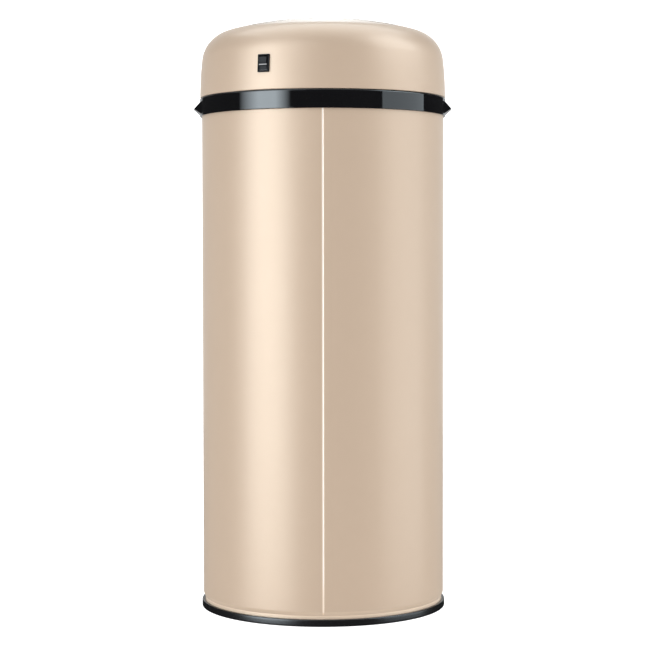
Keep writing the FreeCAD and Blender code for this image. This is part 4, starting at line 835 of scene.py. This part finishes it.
studio = {"floorSize": 12.0, "backdropWide": 2.6, "backdropTall": 3.2, "backdropPlace": -2.2,
          "paperWhite": 1.05, "paperFill": 0.70, "paperMirror": 0.04, "worldMirror": 0.024,
          "worldFill": 0.82, "lampTint": (0.93, 1.04, 1.11),
          "leftBox": dict(angle=54.8, distance=2.4, height=1.5, wide=2.36, tall=3.8, glow=8.8,
                          soft=(("X", 0, 0.42), ("X", 1, 0.28), ("Y", 1, 0.55))),
          "leftLow": dict(angle=32.0, distance=2.3, height=0.15, wide=0.5, tall=1.1, glow=2.2),
          "leftWash": dict(angle=25.0, distance=2.35, height=1.9, aim=0.6, wide=0.8, tall=1.4,
                           glow=2.4),
          "rightBox": dict(angle=-79.6, distance=2.2, height=0.45, wide=2.04, tall=1.7, glow=1.9),
          "rightLow": dict(angle=-79.6, distance=2.1, height=0.15, wide=1.95, tall=1.0, glow=0.6),
          "rightWash": dict(angle=-79.6, distance=2.25, height=2.5, aim=2.5, wide=2.09, tall=2.4,
                            glow=6.0),
          "topBox": dict(angle=180.0, distance=0.05, height=2.9, aim=0.0, wide=3.8, tall=3.3, glow=4.0,
                         soft=(("Y", 1, 0.54),)),
          "backBox": dict(angle=180.0, distance=2.15, height=1.45, aim=0.7, wide=0.55, tall=0.9,
                          glow=4.0, soft=(("X", 0, 0.4), ("X", 1, 0.4))),
          "leftFill": dict(angle=130.0, distance=2.6, height=0.6, wide=1.5, tall=1.5, glow=2.6,
                           mirrored=False),
          "rightFill": dict(angle=-134.0, distance=2.6, height=0.6, wide=1.5, tall=1.5, glow=3.8,
                            mirrored=False)}


def makeStage(size):
    half = size["floorSize"] / 2
    floor = bpy.data.meshes.new("floor")
    corners = [(-half, -half, 0), (half, -half, 0), (half, half, 0), (-half, half, 0)]
    floor.from_pydata(corners, [], [(0, 1, 2, 3)])
    wide, tall, back = size["backdropWide"] / 2, size["backdropTall"], size["backdropPlace"]
    board = bpy.data.meshes.new("backdrop")
    corners = [(wide, back, 0), (-wide, back, 0), (-wide, back, tall), (wide, back, tall)]
    board.from_pydata(corners, [], [(0, 1, 2, 3)])
    paper = paperMaterial("whitePaper", size)
    for name, mesh in (("floor", floor), ("backdrop", board)):
        mesh.materials.append(paper)
        piece = bpy.data.objects.new(name, mesh)
        bpy.context.scene.collection.objects.link(piece)
        if name == "floor":  # so that the softboxes' mirror images run down to the foot
            piece.visible_glossy = False
            piece.visible_shadow = False


def paperMaterial(name, size):
    # Paper lit from within: white to the camera, an even fill to the part, nearly nothing in mirror images,
    # and clear from behind, so that the part's front and underside can be looked at too
    material, tree, shader = newMaterial(name)
    shader.inputs["Base Color"].default_value = (0.5, 0.5, 0.5, 1)
    shader.inputs["Roughness"].default_value = 0.9
    shader.inputs["Specular IOR Level"].default_value = 0.1
    shader.inputs["Emission Color"].default_value = (1, 1, 1, 1)
    tree.links.new(rayLevels(tree, size["paperMirror"], size["paperFill"], size["paperWhite"]),
                   shader.inputs["Emission Strength"])
    behind = addNode(tree, "ShaderNodeNewGeometry")
    clear = addNode(tree, "ShaderNodeBsdfTransparent")
    either = addNode(tree, "ShaderNodeMixShader")
    output = next(node for node in tree.nodes if node.type == "OUTPUT_MATERIAL")
    tree.links.new(behind.outputs["Backfacing"], either.inputs["Fac"])
    tree.links.new(shader.outputs["BSDF"], either.inputs[1])
    tree.links.new(clear.outputs["BSDF"], either.inputs[2])
    tree.links.new(either.outputs["Shader"], output.inputs["Surface"])
    return material


def rayLevels(tree, mirror, fill, white):
    # A level that differs for mirror rays, diffuse rays and the camera
    path = addNode(tree, "ShaderNodeLightPath")
    last = None
    for level, rays in ((fill, "Is Diffuse Ray"), (white, "Is Camera Ray")):
        mix = addNode(tree, "ShaderNodeMix", data_type="FLOAT")
        mix.inputs["A"].default_value = mirror
        mix.inputs["B"].default_value = level
        tree.links.new(path.outputs[rays], mix.inputs["Factor"])
        if last:
            tree.links.new(last, mix.inputs["A"])
        last = mix.outputs["Result"]
    return last


def softenEdges(light, soft):
    # Glow across the box: rises from nothing over a soft share of its width (X) or height (Y) at each edge
    light.use_nodes = True
    tree = light.node_tree
    shine = next(node for node in tree.nodes if node.type == "EMISSION")
    place, split = addNode(tree, "ShaderNodeNewGeometry"), addNode(tree, "ShaderNodeSeparateXYZ")
    tree.links.new(place.outputs["Parametric"], split.inputs[0])
    last = None
    for axis, far, share in soft:
        edge = addNode(tree, "ShaderNodeMapRange")
        edge.inputs["From Min"].default_value = far
        edge.inputs["From Max"].default_value = abs(far - share)
        tree.links.new(split.outputs[axis], edge.inputs["Value"])
        result = edge.outputs["Result"]
        if last:
            both = addNode(tree, "ShaderNodeMath", operation="MULTIPLY")
            tree.links.new(last, both.inputs[0])
            tree.links.new(result, both.inputs[1])
            result = both.outputs[0]
        last = result
    tree.links.new(last, shine.inputs["Strength"])


def makeLight(name, look):
    # A softbox beside the part: angle from the camera's side, glow in units of the white paper
    light = bpy.data.lights.new(name, "AREA")
    light.shape = "RECTANGLE"
    light.size, light.size_y = look["wide"], look["tall"]
    light.energy = look["glow"] * look["wide"] * look["tall"] * math.pi
    light.color = studio["lampTint"]
    if look.get("soft"):
        softenEdges(light, look["soft"])
    turn = math.radians(look["angle"])
    place = Vector((look["distance"] * math.sin(turn), look["distance"] * math.cos(turn), look["height"]))
    aim = Vector((0, 0, look.get("aim", look["height"]))) - place
    lamp = bpy.data.objects.new(name, light)
    bpy.context.scene.collection.objects.link(lamp)
    lamp.matrix_world = Matrix.Translation(place) @ aim.to_track_quat("-Z", "Y").to_matrix().to_4x4()
    lamp.visible_diffuse = not look.get("mirrored", True)
    lamp.visible_glossy = look.get("mirrored", True)


def makeWorld(size):
    # White where the camera looks past the stage, an even fill for diffuse light, dim in mirror images
    world = bpy.data.worlds.new("studio")
    bpy.context.scene.world = world
    world.use_nodes = True
    tree = world.node_tree
    tree.nodes.clear()
    output, sky = addNode(tree, "ShaderNodeOutputWorld"), addNode(tree, "ShaderNodeBackground")
    sky.inputs["Color"].default_value = (1, 1, 1, 1)
    tree.links.new(rayLevels(tree, size["worldMirror"], size["worldFill"], size["paperWhite"]),
                   sky.inputs["Strength"])
    tree.links.new(sky.outputs["Background"], output.inputs["Surface"])


viewPoint = {"distance": 2.2876, "height": 0.4401, "pitch": 0.03826, "roll": -0.0014, "focal": 1830.4,
             "frame": 645.0, "middle": 323.0, "sensor": 36.0}


def makeCamera(size):
    # The focal length in pixels over the frame's width, times the sensor's width, is the lens
    lens = bpy.data.cameras.new("camera")
    lens.sensor_width = size["sensor"]
    lens.lens = size["focal"] / size["frame"] * size["sensor"]
    lens.shift_x = (size["frame"] / 2 - size["middle"]) / size["frame"]
    camera = bpy.data.objects.new("camera", lens)
    bpy.context.scene.collection.objects.link(camera)
    turn = Matrix.Rotation(math.pi, 4, "Z") @ Matrix.Rotation(math.pi / 2 - size["pitch"], 4, "X")
    camera.matrix_world = (Matrix.Translation((0, size["distance"], size["height"])) @ turn
                           @ Matrix.Rotation(size["roll"], 4, "Z"))
    bpy.context.scene.camera = camera


makeStage(studio)
for lampName, lampLook in studio.items():
    if isinstance(lampLook, dict):
        makeLight(lampName, lampLook)
makeWorld(studio)
makeCamera(viewPoint)
bpy.context.scene.view_settings.view_transform = "Standard"
print("studio ready")
